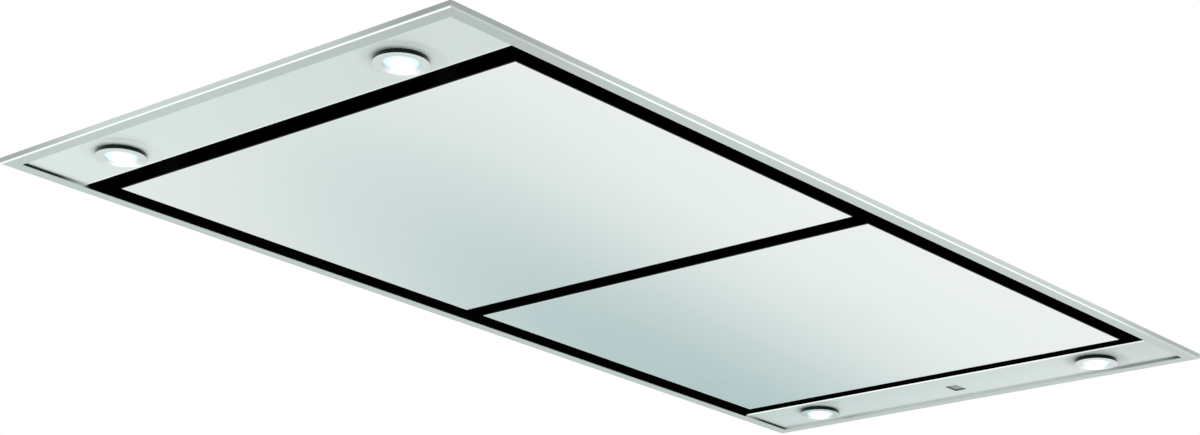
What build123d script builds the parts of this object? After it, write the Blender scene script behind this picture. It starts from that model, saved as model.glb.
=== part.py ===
from build123d import *
import math
import os

# Ceiling range hood, seen from below in use. Millimetres, +Z up.
# X runs along the hood, Y across it, and -Y is the front, where the panels open.
# Z is 0 on top of the suspension tabs, and the origin is the centre of their four slots.

# ---------------------------------------------------------------- driving dimensions
# Visible face
HOOD_LENGTH = 1200.0
HOOD_WIDTH = 600.0
RIM_DROP = 6.0
RIM_BAND = 14.4
RIM_RETURN = 30.0
RIM_FOLD_RADIUS = 2.0
LAMP_STRIP = 90.7
PLATE_RECESS = 2.5
PLATE_FLANGE = 20.0
PLATE_FOLD_RADIUS = 1.8
PLATE_FOLD_SHOWN = 0.6
AIR_SLOT = 22.8
CENTRE_SLOT = 24.9
PANEL_RECESS = 1.0
PANEL_DEPTH = 14.0
PANEL_BACK_FLANGE = 9.0
PANEL_FOLD_RADIUS = 1.2

# Sheet and clearances
SHEET = 1.0
FIT_GAP = 0.2
RUN_GAP = 0.3
PIN_GAP = 0.05

# Body above the ceiling
BODY_HEIGHT = 270.0
BRACKET_RISE = 25.0
WALL_FLANGE = 16.0

# Suspension brackets
BRACKET_SPACING_X = 940.0
BRACKET_SPACING_Y = 500.0
BRACKET_WIDTH = 50.0
BRACKET_FOOT = 32.0
BRACKET_TAB = 36.0
BRACKET_PLATE = 3.0
SLOT_WIDTH = 9.0
SLOT_LENGTH = 20.0
BOLT_DIAMETER = 6.0
BOLT_SPACING = 28.0
BOLT_HEAD_FLATS = 10.0
BOLT_HEAD_HEIGHT = 4.0
BOLT_NUT_HEIGHT = 5.0
BOLT_REACH = 7.0

# Intake tray and centre rail
TRAY_DEPTH = 50.0
TRAY_LIP_RECESS = 0.5
RAIL_WIDTH = 32.0
RAIL_DEPTH = 10.0

# Grease filters
FILTER_THICKNESS = 12.0
FILTER_ABOVE = 3.0
FILTER_SHEET = 1.0
FILTER_BORDER = 12.0
FILTER_GAP = 1.0
FILTER_SPACING = 22.0
FILTER_SIDE_LAND = 16.0
FILTER_END_LAND = 42.0
TONGUE_WIDTH = 20.0
TONGUE_REACH = 9.0
TONGUE_SPACING = 120.0
TONGUE_THICKNESS = 1.2

# Filter latch
POCKET_WIDTH = 50.0
POCKET_LENGTH = 38.0
LATCH_WIDTH = 20.0
LATCH_LENGTH = 31.0
LATCH_REACH = 7.0
LATCH_TRAVEL = 6.5
LATCH_TAB_WIDTH = 17.0
LATCH_TAB_THICKNESS = 2.0
LATCH_TAB_SETBACK = 14.0
LATCH_TAB_DROP = 8.0
LATCH_GRIP_LENGTH = 8.0

# Panel hinges and magnetic catches
HINGE_SETBACK = 12.0
HINGE_RISE = 8.0
HINGE_SPACING = 320.0
HINGE_BARREL_DIAMETER = 12.0
HINGE_PIN_DIAMETER = 6.0
HINGE_PIN_HEAD = 9.0
HINGE_PIN_HEAD_HEIGHT = 1.5
HINGE_ARM_WIDTH = 21.0
HINGE_ARM_FOOT = 34.0
HINGE_PLATE = 2.0
HINGE_EAR_WIDTH = 10.0
HINGE_BASE_LENGTH = 24.0
HINGE_SIDE_GAP = 0.5
CATCH_SETBACK = 14.0
CATCH_LENGTH = 30.0
CATCH_WIDTH = 16.0
CATCH_SHEET = 1.5
MAGNET_HEIGHT = 5.0
MAGNET_BORDER = 2.0

# Spotlights
LAMP_END_MARGIN = 55.0
LAMP_SPACING_LEFT = 374.0
LAMP_SPACING_RIGHT = 395.0
LAMP_FACE_DIAMETER = 48.6
LAMP_SEAT_DIAMETER = 45.8
LAMP_NECK_DIAMETER = 44.4
LAMP_PROUD = 4.5
LAMP_EDGE = 0.8
LAMP_WINDOW_DIAMETER = 33.0
LAMP_LIP = 1.2
LAMP_LENS_DIAMETER = 38.0
LAMP_LENS_THICKNESS = 2.0
LAMP_NECK_HEIGHT = 8.5
LAMP_SINK_DIAMETER = 42.0
LAMP_SINK_HEIGHT = 27.0
LAMP_SINK_GROOVE = 2.5
LAMP_SINK_GROOVES = 4
CLIP_WIDTH = 8.0
CLIP_SHEET = 0.6
CLIP_HEIGHT = 20.0
CLIP_REACH = 13.0

# Remote-control receiver
WINDOW_END_MARGIN = 47.8
WINDOW_LENGTH = 22.4
WINDOW_WIDTH = 15.5
WINDOW_BORDER = 3.0
WINDOW_THICKNESS = 2.0
RECEIVER_LENGTH = 36.0
RECEIVER_WIDTH = 26.0
SENSOR_SIZE = 7.0
SENSOR_HEIGHT = 4.0
BOARD_THICKNESS = 1.6

# Blower
IMPELLER_DIAMETER = 150.0
IMPELLER_WIDTH = 130.0
BLADE_COUNT = 32
BLADE_CHORD = 15.0
BLADE_THICKNESS = 0.8
BLADE_ANGLE = 28.0
IMPELLER_RING = 2.0
IMPELLER_DISC = 1.5
HUB_DIAMETER = 24.0
HUB_LENGTH = 18.0
NUT_FLATS = 13.0
NUT_HEIGHT = 6.0
SCROLL_CLEARANCE = 9.0
SCROLL_GROWTH = 36.0
SCROLL_WIDTH = 150.0
SCROLL_SHEET = 1.2
SCROLL_FLOOR_GAP = 5.0
INLET_DIAMETER = 124.0
INLET_LIP = 5.0
MOTOR_DIAMETER = 84.0
MOTOR_FRONT_GAP = 3.0
MOTOR_NECK_DIAMETER = 60.0
MOTOR_NECK_LENGTH = 10.0
SHAFT_DIAMETER = 8.0
MOUNT_RING_WIDTH = 8.0
MOUNT_RING_OVERLAP = 3.0
MOUNT_HUB_DIAMETER = 58.0
MOUNT_ARM_WIDTH = 12.0
MOUNT_ARMS = 3

# Outlet collar and non-return flaps
OUTLET_DIAMETER = 150.0
OUTLET_WALL = 1.5
OUTLET_HEIGHT = 60.0
OUTLET_FLANGE = 190.0
OUTLET_STOP_WIDTH = 2.0
OUTLET_STOP_HEIGHT = 2.0
OUTLET_STOP_RISE = 6.0
OUTLET_SEAT = 4.5
FLAP_THICKNESS = 1.2
FLAP_GAP = 0.8
FLAP_PIN_DIAMETER = 4.0
FLAP_BARREL_DIAMETER = 6.4
FLAP_BARREL_LENGTH = 18.0
FLAP_BARREL_PITCH = 20.0
FLAP_EDGE_GAP = 0.5

# Control electronics; the box is placed from the bracket at its end, clear of its bolts
CONTROL_LENGTH = 170.0
CONTROL_WIDTH = 120.0
CONTROL_HEIGHT = 50.0
CONTROL_WALL = 2.0
CONTROL_END_MARGIN = 135.0
CONTROL_SIDE_MARGIN = 130.0
BOARD_LENGTH = 110.0
BOARD_WIDTH = 96.0
BOARD_POST_DIAMETER = 7.0
BOARD_POST_HEIGHT = 18.0
BOARD_MARGIN = 8.0
TERMINAL_LENGTH = 36.0
TERMINAL_WIDTH = 22.0
TERMINAL_HEIGHT = 16.0
TERMINAL_WAYS = 5
GLAND_DIAMETER = 16.0
GLAND_BORE = 8.0
GLAND_FLATS = 22.0
GLAND_NUT_HEIGHT = 6.0
GLAND_CAP_HEIGHT = 14.0
DRIVER_END_MARGIN = 250.0
DRIVER_SIDE_MARGIN = 120.0
DRIVER_LENGTH = 110.0
DRIVER_WIDTH = 56.0
DRIVER_HEIGHT = 28.0
DRIVER_RADIUS = 3.0
LEAD_DIAMETER = 4.0
LEAD_BEND = 14.0
LEAD_SPACING = 20.0
LEAD_HOLE = 10.0

# Sheet screws, one size everywhere
SCREW_DIAMETER = 3.9
SCREW_HOLE = 4.2
SCREW_HEAD = 8.0
SCREW_HEAD_HEIGHT = 2.2
SCREW_LENGTH = 6.0
SIDE_SCREW_X = (150.0, 420.0)
END_SCREW_Y = 230.0
TOP_SCREW_Y = 220.0

# ---------------------------------------------------------------- heights and edges
Z_BODY_TOP = -BRACKET_RISE
Z_ROOF = Z_BODY_TOP - SHEET
Z_CEILING = Z_BODY_TOP - BODY_HEIGHT
Z_FACE = Z_CEILING - RIM_DROP
Z_PLATE = Z_FACE + PLATE_RECESS
Z_PANEL = Z_FACE + PANEL_RECESS
Z_PANEL_RIM = Z_PANEL + PANEL_DEPTH
Z_PANEL_BACK = Z_PANEL_RIM + SHEET
Z_HINGE = Z_PANEL_BACK + HINGE_RISE
Z_TRAY = Z_FACE + TRAY_DEPTH
Z_TRAY_UNDER = Z_TRAY - SHEET
Z_FILTER_TOP = Z_TRAY + FILTER_ABOVE
Z_FILTER = Z_FILTER_TOP - FILTER_THICKNESS

OPENING_X = HOOD_LENGTH / 2 - RIM_BAND
OPENING_Y = HOOD_WIDTH / 2 - RIM_BAND
BODY_X = OPENING_X + 2 * SHEET + FIT_GAP
BODY_Y = OPENING_Y + 2 * SHEET + FIT_GAP
STRIP_X = HOOD_LENGTH / 2 - LAMP_STRIP
TRAY_X = STRIP_X - FIT_GAP
TRAY_Y = OPENING_Y - FIT_GAP
PANEL_OUTER_X = STRIP_X - AIR_SLOT
PANEL_INNER_X = CENTRE_SLOT / 2
PANEL_Y = OPENING_Y - AIR_SLOT
PANEL_CENTRE_X = (PANEL_OUTER_X + PANEL_INNER_X) / 2
PANEL_LENGTH = PANEL_OUTER_X - PANEL_INNER_X
HINGE_Y = PANEL_Y - HINGE_SETBACK

FILTER_WIDTH = (PANEL_LENGTH - 2 * FILTER_SIDE_LAND - FILTER_SPACING) / 2
FILTER_Y = PANEL_Y - FILTER_END_LAND
FILTER_OFFSET = (FILTER_WIDTH + FILTER_SPACING) / 2

LAMP_X = HOOD_LENGTH / 2 - LAMP_END_MARGIN
WINDOW_X = HOOD_LENGTH / 2 - WINDOW_END_MARGIN
CONTROL_X = BRACKET_SPACING_X / 2 - CONTROL_END_MARGIN
CONTROL_Y = CONTROL_SIDE_MARGIN - HOOD_WIDTH / 2
DRIVER_X = HOOD_LENGTH / 2 - DRIVER_END_MARGIN
DRIVER_Y = HOOD_WIDTH / 2 - DRIVER_SIDE_MARGIN

OUTLET_RADIUS = OUTLET_DIAMETER / 2
IMPELLER_RADIUS = IMPELLER_DIAMETER / 2
SCROLL_START = IMPELLER_RADIUS + SCROLL_CLEARANCE
SCROLL_END = SCROLL_START + SCROLL_GROWTH
MOUTH_Y = OUTLET_RADIUS
BLOWER_Y = SCROLL_END - MOUTH_Y
MOUTH_X = SCROLL_WIDTH / 2
SIDE_X = MOUTH_X + SCROLL_SHEET

LEFT, RIGHT = -1, 1
FRONT, REAR = -1, 1
CORNERS = [(end, side) for end in (LEFT, RIGHT) for side in (FRONT, REAR)]
LOW = (Align.CENTER, Align.CENTER, Align.MIN)


# ---------------------------------------------------------------- helpers
def slab(x0, x1, y0, y1, z0, z1):
    """A block between two corners, given in any order."""
    size = (abs(x1 - x0), abs(y1 - y0), abs(z1 - z0))
    return Pos((x0 + x1) / 2, (y0 + y1) / 2, (z0 + z1) / 2) * Box(*size)


def frame_ring(outer_x, outer_y, inner_x, inner_y, z0, z1):
    """A rectangular ring about the Z axis, given by its half sizes."""
    outer = slab(-outer_x, outer_x, -outer_y, outer_y, z0, z1)
    return outer - slab(-inner_x, inner_x, -inner_y, inner_y, z0 - 1, z1 + 1)


def rod(radius, start, end):
    """A round bar from one point to another."""
    along = Vector(*end) - Vector(*start)
    return Plane(origin=start, z_dir=along) * Cylinder(radius, along.length, align=LOW)


def tube(outer, inner, start, end):
    """A round bar with a bore right through it."""
    return rod(outer, start, end) - rod(inner, start, end)


def hexagon_bar(flats, start, end):
    """A hexagonal bar from one point to another, given across its flats."""
    along = Vector(*end) - Vector(*start)
    outline = Plane(origin=start, z_dir=along) * RegularPolygon(flats / 2, 6, major_radius=False)
    return extrude(outline, amount=along.length)


def offset_point(point, direction, distance):
    """The point moved along a direction."""
    return tuple(p + d * distance for p, d in zip(point, direction))


def save(name, *solids):
    """Writes one node, which holds one solid or several separate ones."""
    shape = solids[0] if len(solids) == 1 else Compound(children=list(solids))
    export_step(shape, f"parts/{name}.step")


def lamp_place(end, side):
    """Plan position of one spotlight."""
    spacing = LAMP_SPACING_LEFT if end == LEFT else LAMP_SPACING_RIGHT
    return end * LAMP_X, side * spacing / 2


# ---------------------------------------------------------------- screw places
def side_fixings():
    """Through tray, rim return and body wall, low in the tray."""
    height = Z_FACE + RIM_RETURN * 2 / 3
    return [
        ((end * x, side * (TRAY_Y - SHEET), height), (0, side, 0))
        for end, side in CORNERS
        for x in SIDE_SCREW_X
    ]


def strip_fixings(end):
    """Through the tray's end wall into the lamp plate's inner flange."""
    height = Z_PLATE + PLATE_FLANGE / 2
    return [
        ((end * (TRAY_X - SHEET), y, height), (end, 0, 0)) for y in (-END_SCREW_Y, 0, END_SCREW_Y)
    ]


def end_top_fixings(end):
    """Through the roof into the end wall's top flange."""
    x = end * (BODY_X - SHEET - WALL_FLANGE / 2)
    return [((x, y, Z_BODY_TOP), (0, 0, -1)) for y in (-TOP_SCREW_Y, 0, TOP_SCREW_Y)]


def side_top_fixings(side):
    """Through the roof into the side wall's top flange."""
    y = side * (BODY_Y - SHEET - WALL_FLANGE / 2)
    return [((end * x, y, Z_BODY_TOP), (0, 0, -1)) for end in (LEFT, RIGHT) for x in SIDE_SCREW_X]


def roof_fixings():
    """Every screw that goes down through the roof."""
    fixings = end_top_fixings(LEFT) + end_top_fixings(RIGHT)
    fixings += side_top_fixings(FRONT) + side_top_fixings(REAR)
    return fixings + collar_fixings() + box_fixings()


def collar_fixings():
    """Through the collar flange, the roof and the scroll's mouth flange."""
    reach = (OUTLET_FLANGE + OUTLET_DIAMETER) / 4
    top = Z_BODY_TOP + OUTLET_WALL
    return [((end * reach, side * reach, top), (0, 0, -1)) for end, side in CORNERS]


def box_fixings():
    """Through the roof into the control box and the lamp driver."""
    control = CONTROL_LENGTH / 2 - BOARD_MARGIN
    driver = DRIVER_LENGTH / 2 - BOARD_MARGIN
    control_places = [(CONTROL_X + s * control, CONTROL_Y + CONTROL_WIDTH / 3) for s in (LEFT, RIGHT)]
    driver_places = [(DRIVER_X + s * driver, DRIVER_Y) for s in (LEFT, RIGHT)]
    return [((x, y, Z_BODY_TOP), (0, 0, -1)) for x, y in control_places + driver_places]


def screw(place, into):
    """One sheet screw: the place is where its head meets the sheet."""
    head = rod(SCREW_HEAD / 2, place, offset_point(place, into, -SCREW_HEAD_HEIGHT))
    shank = rod(SCREW_DIAMETER / 2, place, offset_point(place, into, SCREW_LENGTH))
    return head + shank


def drilled(part, fixings):
    """The part with clearance holes at the fixings that cross it."""
    for place, into in fixings:
        start = offset_point(place, into, -SCREW_HEAD_HEIGHT)
        part -= rod(SCREW_HOLE / 2, start, offset_point(place, into, SCREW_LENGTH + RUN_GAP))
    return part


# ---------------------------------------------------------------- rim and lamp plates
def outer_edges(part, height, half_x, half_y):
    """Level edges of a part at a height, on the sides of a rectangle of that half size."""
    found = []
    for edge in part.edges():
        middle = edge.center()
        on_side = abs(abs(middle.X) - half_x) < FIT_GAP or abs(abs(middle.Y) - half_y) < FIT_GAP
        if abs(middle.Z - height) < FIT_GAP and on_side:
            found.append(edge)
    return found


def trim_frame():
    """Stainless rim: downstand, flat band and the return that goes up inside the body."""
    half_x = HOOD_LENGTH / 2
    half_y = HOOD_WIDTH / 2
    band = frame_ring(half_x, half_y, OPENING_X, OPENING_Y, Z_FACE, Z_FACE + SHEET)
    wall = frame_ring(half_x, half_y, half_x - SHEET, half_y - SHEET, Z_FACE, Z_CEILING)
    back = frame_ring(
        OPENING_X + SHEET, OPENING_Y + SHEET, OPENING_X, OPENING_Y, Z_FACE, Z_FACE + RIM_RETURN
    )
    frame = band + wall + back
    outer = outer_edges(frame, Z_FACE, half_x, half_y)
    frame = fillet(outer, RIM_FOLD_RADIUS)
    inner = outer_edges(frame, Z_FACE + SHEET, half_x - SHEET, half_y - SHEET)
    return drilled(fillet(inner, RIM_FOLD_RADIUS - SHEET), side_fixings())


def lamp_plate(end):
    """Recessed steel strip at one end, with two spotlight holes."""
    inner_x = end * STRIP_X
    outer_x = end * (OPENING_X - FIT_GAP)
    half_y = OPENING_Y - FIT_GAP
    plate = slab(inner_x, outer_x, -half_y, half_y, Z_PLATE, Z_PLATE + PLATE_FLANGE)
    low_edges = plate.edges().filter_by(Axis.Y).group_by(Axis.Z)[0]
    fold = min(low_edges, key=lambda edge: abs(edge.center().X))
    plate = fillet(fold, PLATE_FOLD_RADIUS)
    plate -= slab(
        inner_x + end * SHEET,
        outer_x - end * SHEET,
        SHEET - half_y,
        half_y - SHEET,
        Z_PLATE + SHEET,
        Z_PLATE + PLATE_FLANGE + 1,
    )
    for side in (FRONT, REAR):
        centre = (*lamp_place(end, side), Z_PLATE - 1)
        radius = LAMP_NECK_DIAMETER / 2 + RUN_GAP
        plate -= rod(radius, centre, offset_point(centre, (0, 0, 1), SHEET + 2))
    if end == RIGHT:
        plate -= slab(
            WINDOW_X - WINDOW_LENGTH / 2,
            WINDOW_X + WINDOW_LENGTH / 2,
            -WINDOW_WIDTH / 2,
            WINDOW_WIDTH / 2,
            Z_PLATE - 1,
            Z_PLATE + SHEET + 1,
        )
    return drilled(plate, strip_fixings(end))


# ---------------------------------------------------------------- body
def bracket_bolt_places():
    """Plan positions of the bolts that hold the brackets on the roof."""
    foot_y = BRACKET_SPACING_Y / 2 - BRACKET_TAB / 2 - BRACKET_PLATE - BRACKET_FOOT / 2
    return [
        (end * BRACKET_SPACING_X / 2 + s * BOLT_SPACING / 2, side * foot_y)
        for end, side in CORNERS
        for s in (LEFT, RIGHT)
    ]


def body_roof():
    """Flat galvanised roof that the brackets, blower and boxes are fixed to."""
    roof = slab(-BODY_X, BODY_X, -BODY_Y, BODY_Y, Z_ROOF, Z_BODY_TOP)
    seat = OUTLET_RADIUS - OUTLET_WALL - OUTLET_SEAT
    roof -= rod(seat, (0, 0, Z_ROOF - 1), (0, 0, Z_BODY_TOP + 1))
    gland_x, gland_y = gland_place()
    roof -= rod(
        GLAND_DIAMETER / 2 + PIN_GAP, (gland_x, gland_y, Z_ROOF - 1), (gland_x, gland_y, Z_BODY_TOP + 1)
    )
    for x, y in bracket_bolt_places():
        roof -= rod(BOLT_DIAMETER / 2 + FIT_GAP, (x, y, Z_ROOF - 1), (x, y, Z_BODY_TOP + 1))
    return drilled(roof, roof_fixings())


def side_wall(side):
    """Long wall with a folded flange under the roof."""
    outer_y = side * BODY_Y
    wall = slab(-BODY_X, BODY_X, outer_y, outer_y - side * SHEET, Z_FACE + SHEET, Z_ROOF)
    flange_x = BODY_X - SHEET - WALL_FLANGE - FIT_GAP
    flange_y = outer_y - side * (SHEET + WALL_FLANGE)
    wall += slab(-flange_x, flange_x, outer_y, flange_y, Z_ROOF - SHEET, Z_ROOF)
    return drilled(wall, side_fixings() + side_top_fixings(side))


def end_wall(end):
    """Short wall with folded flanges at its top and sides."""
    outer_x = end * BODY_X
    half_y = BODY_Y - SHEET - FIT_GAP
    bottom = Z_FACE + SHEET
    wall = slab(outer_x, outer_x - end * WALL_FLANGE, -half_y, half_y, bottom, Z_ROOF)
    wall -= slab(
        outer_x - end * SHEET,
        outer_x - end * (WALL_FLANGE + 1),
        SHEET - half_y,
        half_y - SHEET,
        bottom - 1,
        Z_ROOF - SHEET,
    )
    rim_space = OPENING_X + SHEET + FIT_GAP
    wall -= slab(
        end * rim_space,
        end * (rim_space - WALL_FLANGE),
        -BODY_Y,
        BODY_Y,
        bottom - 1,
        Z_TRAY + FIT_GAP,
    )
    return drilled(wall, end_top_fixings(end))


def suspension_bracket(end, side):
    """Z-shaped bracket: foot on the roof, tab at the top with a slot for a threaded rod."""
    centre_x = end * BRACKET_SPACING_X / 2
    centre_y = side * BRACKET_SPACING_Y / 2
    x0 = centre_x - BRACKET_WIDTH / 2
    x1 = centre_x + BRACKET_WIDTH / 2
    riser_y = centre_y - side * BRACKET_TAB / 2
    tab = slab(x0, x1, riser_y, riser_y + side * BRACKET_TAB, -BRACKET_PLATE, 0)
    riser = slab(x0, x1, riser_y, riser_y - side * BRACKET_PLATE, Z_BODY_TOP, 0)
    foot_end = riser_y - side * (BRACKET_PLATE + BRACKET_FOOT)
    foot = slab(x0, x1, riser_y, foot_end, Z_BODY_TOP, Z_BODY_TOP + BRACKET_PLATE)
    slot_face = Pos(centre_x, centre_y, -BRACKET_PLATE - 1) * SlotOverall(SLOT_LENGTH, SLOT_WIDTH)
    bracket = tab + riser + foot - extrude(slot_face, amount=BRACKET_PLATE + 2)
    for x, y in bracket_bolt_places():
        top = Z_BODY_TOP + BRACKET_PLATE + 1
        bracket -= rod(BOLT_DIAMETER / 2 + FIT_GAP, (x, y, Z_BODY_TOP - 1), (x, y, top))
    return bracket


def bracket_bolts():
    """Hexagon bolts down through feet and roof, each with its nut underneath."""
    pieces = []
    seat = Z_BODY_TOP + BRACKET_PLATE
    for x, y in bracket_bolt_places():
        head = hexagon_bar(BOLT_HEAD_FLATS, (x, y, seat), (x, y, seat + BOLT_HEAD_HEIGHT))
        shank = rod(BOLT_DIAMETER / 2, (x, y, seat), (x, y, Z_ROOF - BOLT_REACH))
        nut = hexagon_bar(BOLT_HEAD_FLATS, (x, y, Z_ROOF), (x, y, Z_ROOF - BOLT_NUT_HEIGHT))
        bore = BOLT_DIAMETER / 2 + PIN_GAP
        pieces.append(head + shank)
        pieces.append(nut - rod(bore, (x, y, Z_ROOF), (x, y, Z_ROOF - BOLT_NUT_HEIGHT)))
    return pieces


def frame_screws():
    """Every sheet screw of the housing."""
    fixings = side_fixings() + strip_fixings(LEFT) + strip_fixings(RIGHT) + roof_fixings()
    return [screw(place, into) for place, into in fixings]


# ---------------------------------------------------------------- intake tray and filters
def filter_places():
    """Centre X of the four filters, from left to right."""
    offsets = (-FILTER_OFFSET, FILTER_OFFSET)
    return [end * PANEL_CENTRE_X + offset for end in (LEFT, RIGHT) for offset in offsets]


def lead_holes():
    """Plan positions where leads pass the tray."""
    return [lamp_place(end, side) for end, side in CORNERS] + [(WINDOW_X, 0)]


def tray_shelf():
    """Black shelf that closes the body below, with a window for each of the four filters."""
    shelf_x = OPENING_X - FIT_GAP
    shelf = slab(-shelf_x, shelf_x, -TRAY_Y, TRAY_Y, Z_TRAY_UNDER, Z_TRAY)
    for x in filter_places():
        half = FILTER_WIDTH / 2 + FILTER_GAP
        shelf -= slab(
            x - half,
            x + half,
            -FILTER_Y - FILTER_GAP,
            FILTER_Y + FILTER_GAP,
            Z_TRAY_UNDER - 1,
            Z_TRAY + 1,
        )
    for x, y in lead_holes():
        shelf -= rod(LEAD_HOLE / 2, (x, y, Z_TRAY_UNDER - 1), (x, y, Z_TRAY + 1))
    return shelf


def tray_side_wall(side):
    """Long black wall from the shelf down to the opening's edge."""
    wall = slab(
        -TRAY_X,
        TRAY_X,
        side * (TRAY_Y - SHEET),
        side * TRAY_Y,
        Z_FACE + TRAY_LIP_RECESS,
        Z_TRAY_UNDER,
    )
    for end in (LEFT, RIGHT):
        wall -= slab(
            end * (TRAY_X - 2 * SHEET), end * (TRAY_X + 1), -TRAY_Y - 1, TRAY_Y + 1, Z_FACE, Z_PLATE
        )
    return drilled(wall, side_fixings())


def tray_end_wall(end):
    """Short black wall between the long ones, over the edge of a lamp plate."""
    half_y = TRAY_Y - SHEET
    low = Z_PLATE + PLATE_FOLD_SHOWN
    wall = slab(end * (TRAY_X - SHEET), end * TRAY_X, -half_y, half_y, low, Z_TRAY_UNDER)
    return drilled(wall, strip_fixings(end))


def centre_rail():
    """Black channel that stiffens the tray between the two panels."""
    half_x = RAIL_WIDTH / 2
    half_y = TRAY_Y - SHEET - FIT_GAP
    rail = slab(-half_x, half_x, -half_y, half_y, Z_TRAY_UNDER - RAIL_DEPTH, Z_TRAY_UNDER)
    return rail - slab(
        SHEET - half_x,
        half_x - SHEET,
        -half_y - 1,
        half_y + 1,
        Z_TRAY_UNDER - RAIL_DEPTH + SHEET,
        Z_TRAY_UNDER + 1,
    )


def latch_pocket(x, grow=0.0):
    """Outer block of the latch pocket at the front edge of a filter."""
    half = POCKET_WIDTH / 2 + grow
    return slab(
        x - half, x + half, -FILTER_Y, POCKET_LENGTH - FILTER_Y + grow, Z_FILTER, Z_FILTER_TOP
    )


def filter_frame(x):
    """Aluminium channel round the mesh, with the latch pocket and two rear tongues."""
    half = FILTER_WIDTH / 2
    skin = FILTER_SHEET
    frame = slab(x - half, x + half, -FILTER_Y, FILTER_Y, Z_FILTER, Z_FILTER_TOP)
    frame -= slab(
        x - half + skin,
        x + half - skin,
        skin - FILTER_Y,
        FILTER_Y - skin,
        Z_FILTER + skin,
        Z_FILTER_TOP - skin,
    )
    frame -= slab(
        x - half + FILTER_BORDER,
        x + half - FILTER_BORDER,
        FILTER_BORDER - FILTER_Y,
        FILTER_Y - FILTER_BORDER,
        Z_FILTER - 1,
        Z_FILTER_TOP + 1,
    )
    frame += latch_pocket(x)
    frame -= slab(
        x - POCKET_WIDTH / 2 + skin,
        x + POCKET_WIDTH / 2 - skin,
        skin - FILTER_Y,
        POCKET_LENGTH - FILTER_Y - skin,
        Z_FILTER + skin,
        Z_FILTER_TOP - skin,
    )
    slot = LATCH_WIDTH / 2 + RUN_GAP
    frame -= slab(
        x - slot, x + slot, -FILTER_Y - 1, skin - FILTER_Y + 1, Z_TRAY, Z_FILTER_TOP - skin
    )
    tab_slot = LATCH_TAB_WIDTH / 2 + RUN_GAP
    tab_front = LATCH_TAB_SETBACK - FILTER_Y
    frame -= slab(
        x - tab_slot,
        x + tab_slot,
        tab_front - RUN_GAP,
        tab_front + LATCH_TAB_THICKNESS + LATCH_TRAVEL + RUN_GAP,
        Z_FILTER - 1,
        Z_FILTER + skin + 1,
    )
    tongue_z = Z_TRAY + RUN_GAP
    for side in (LEFT, RIGHT):
        middle = x + side * TONGUE_SPACING / 2
        frame += slab(
            middle - TONGUE_WIDTH / 2,
            middle + TONGUE_WIDTH / 2,
            FILTER_Y - skin,
            FILTER_Y + TONGUE_REACH,
            tongue_z,
            tongue_z + TONGUE_THICKNESS,
        )
    return frame


def filter_mesh(x):
    """Layered mesh pack that fills the filter frame."""
    inset = FILTER_SHEET + FIT_GAP
    half = FILTER_WIDTH / 2 - inset
    core = slab(
        x - half,
        x + half,
        inset - FILTER_Y,
        FILTER_Y - inset,
        Z_FILTER + FILTER_SHEET,
        Z_FILTER_TOP - FILTER_SHEET,
    )
    return core - latch_pocket(x, FIT_GAP)


def filter_latch(x):
    """Sliding bolt over the tray's front lip, with the tab that a finger pulls back."""
    bolt_low = Z_TRAY + RUN_GAP
    bolt_high = Z_FILTER_TOP - FILTER_SHEET - FIT_GAP
    nose = -FILTER_Y - LATCH_REACH
    bolt = slab(
        x - LATCH_WIDTH / 2, x + LATCH_WIDTH / 2, nose, nose + LATCH_LENGTH, bolt_low, bolt_high
    )
    tab_front = LATCH_TAB_SETBACK - FILTER_Y
    low = Z_FILTER - LATCH_TAB_DROP
    half = LATCH_TAB_WIDTH / 2
    tab = slab(x - half, x + half, tab_front, tab_front + LATCH_TAB_THICKNESS, low, bolt_high)
    grip = slab(
        x - half, x + half, tab_front, tab_front + LATCH_GRIP_LENGTH, low, low + LATCH_TAB_THICKNESS
    )
    return bolt + tab + grip


# ---------------------------------------------------------------- panels
def panel_edges(end):
    """Lower and upper X of one panel."""
    return sorted((end * PANEL_INNER_X, end * PANEL_OUTER_X))


def panel_skin(end):
    """Brushed steel panel, folded up on all four sides."""
    x0, x1 = panel_edges(end)
    skin = slab(x0, x1, -PANEL_Y, PANEL_Y, Z_PANEL, Z_PANEL_RIM)
    skin = fillet(skin.edges().group_by(Axis.Z)[0], PANEL_FOLD_RADIUS)
    return skin - slab(
        x0 + SHEET,
        x1 - SHEET,
        SHEET - PANEL_Y,
        PANEL_Y - SHEET,
        Z_PANEL + SHEET,
        Z_PANEL_RIM + 1,
    )


def panel_back(end):
    """Steel back pan that closes the panel and carries its hinge arms."""
    x0, x1 = panel_edges(end)
    lid = slab(x0, x1, -PANEL_Y, PANEL_Y, Z_PANEL_RIM, Z_PANEL_BACK)
    inset = SHEET + FIT_GAP
    low = Z_PANEL_RIM - PANEL_BACK_FLANGE
    flange = slab(
        x0 + inset, x1 - inset, inset - PANEL_Y, PANEL_Y - inset, low, Z_PANEL_RIM
    )
    inset += SHEET
    flange -= slab(
        x0 + inset, x1 - inset, inset - PANEL_Y, PANEL_Y - inset, low - 1, Z_PANEL_RIM
    )
    return lid + flange


def hinge_places(end):
    """Centre X of the two hinges, and of the two catches, of one panel."""
    return [end * PANEL_CENTRE_X + s * HINGE_SPACING / 2 for s in (LEFT, RIGHT)]


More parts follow.
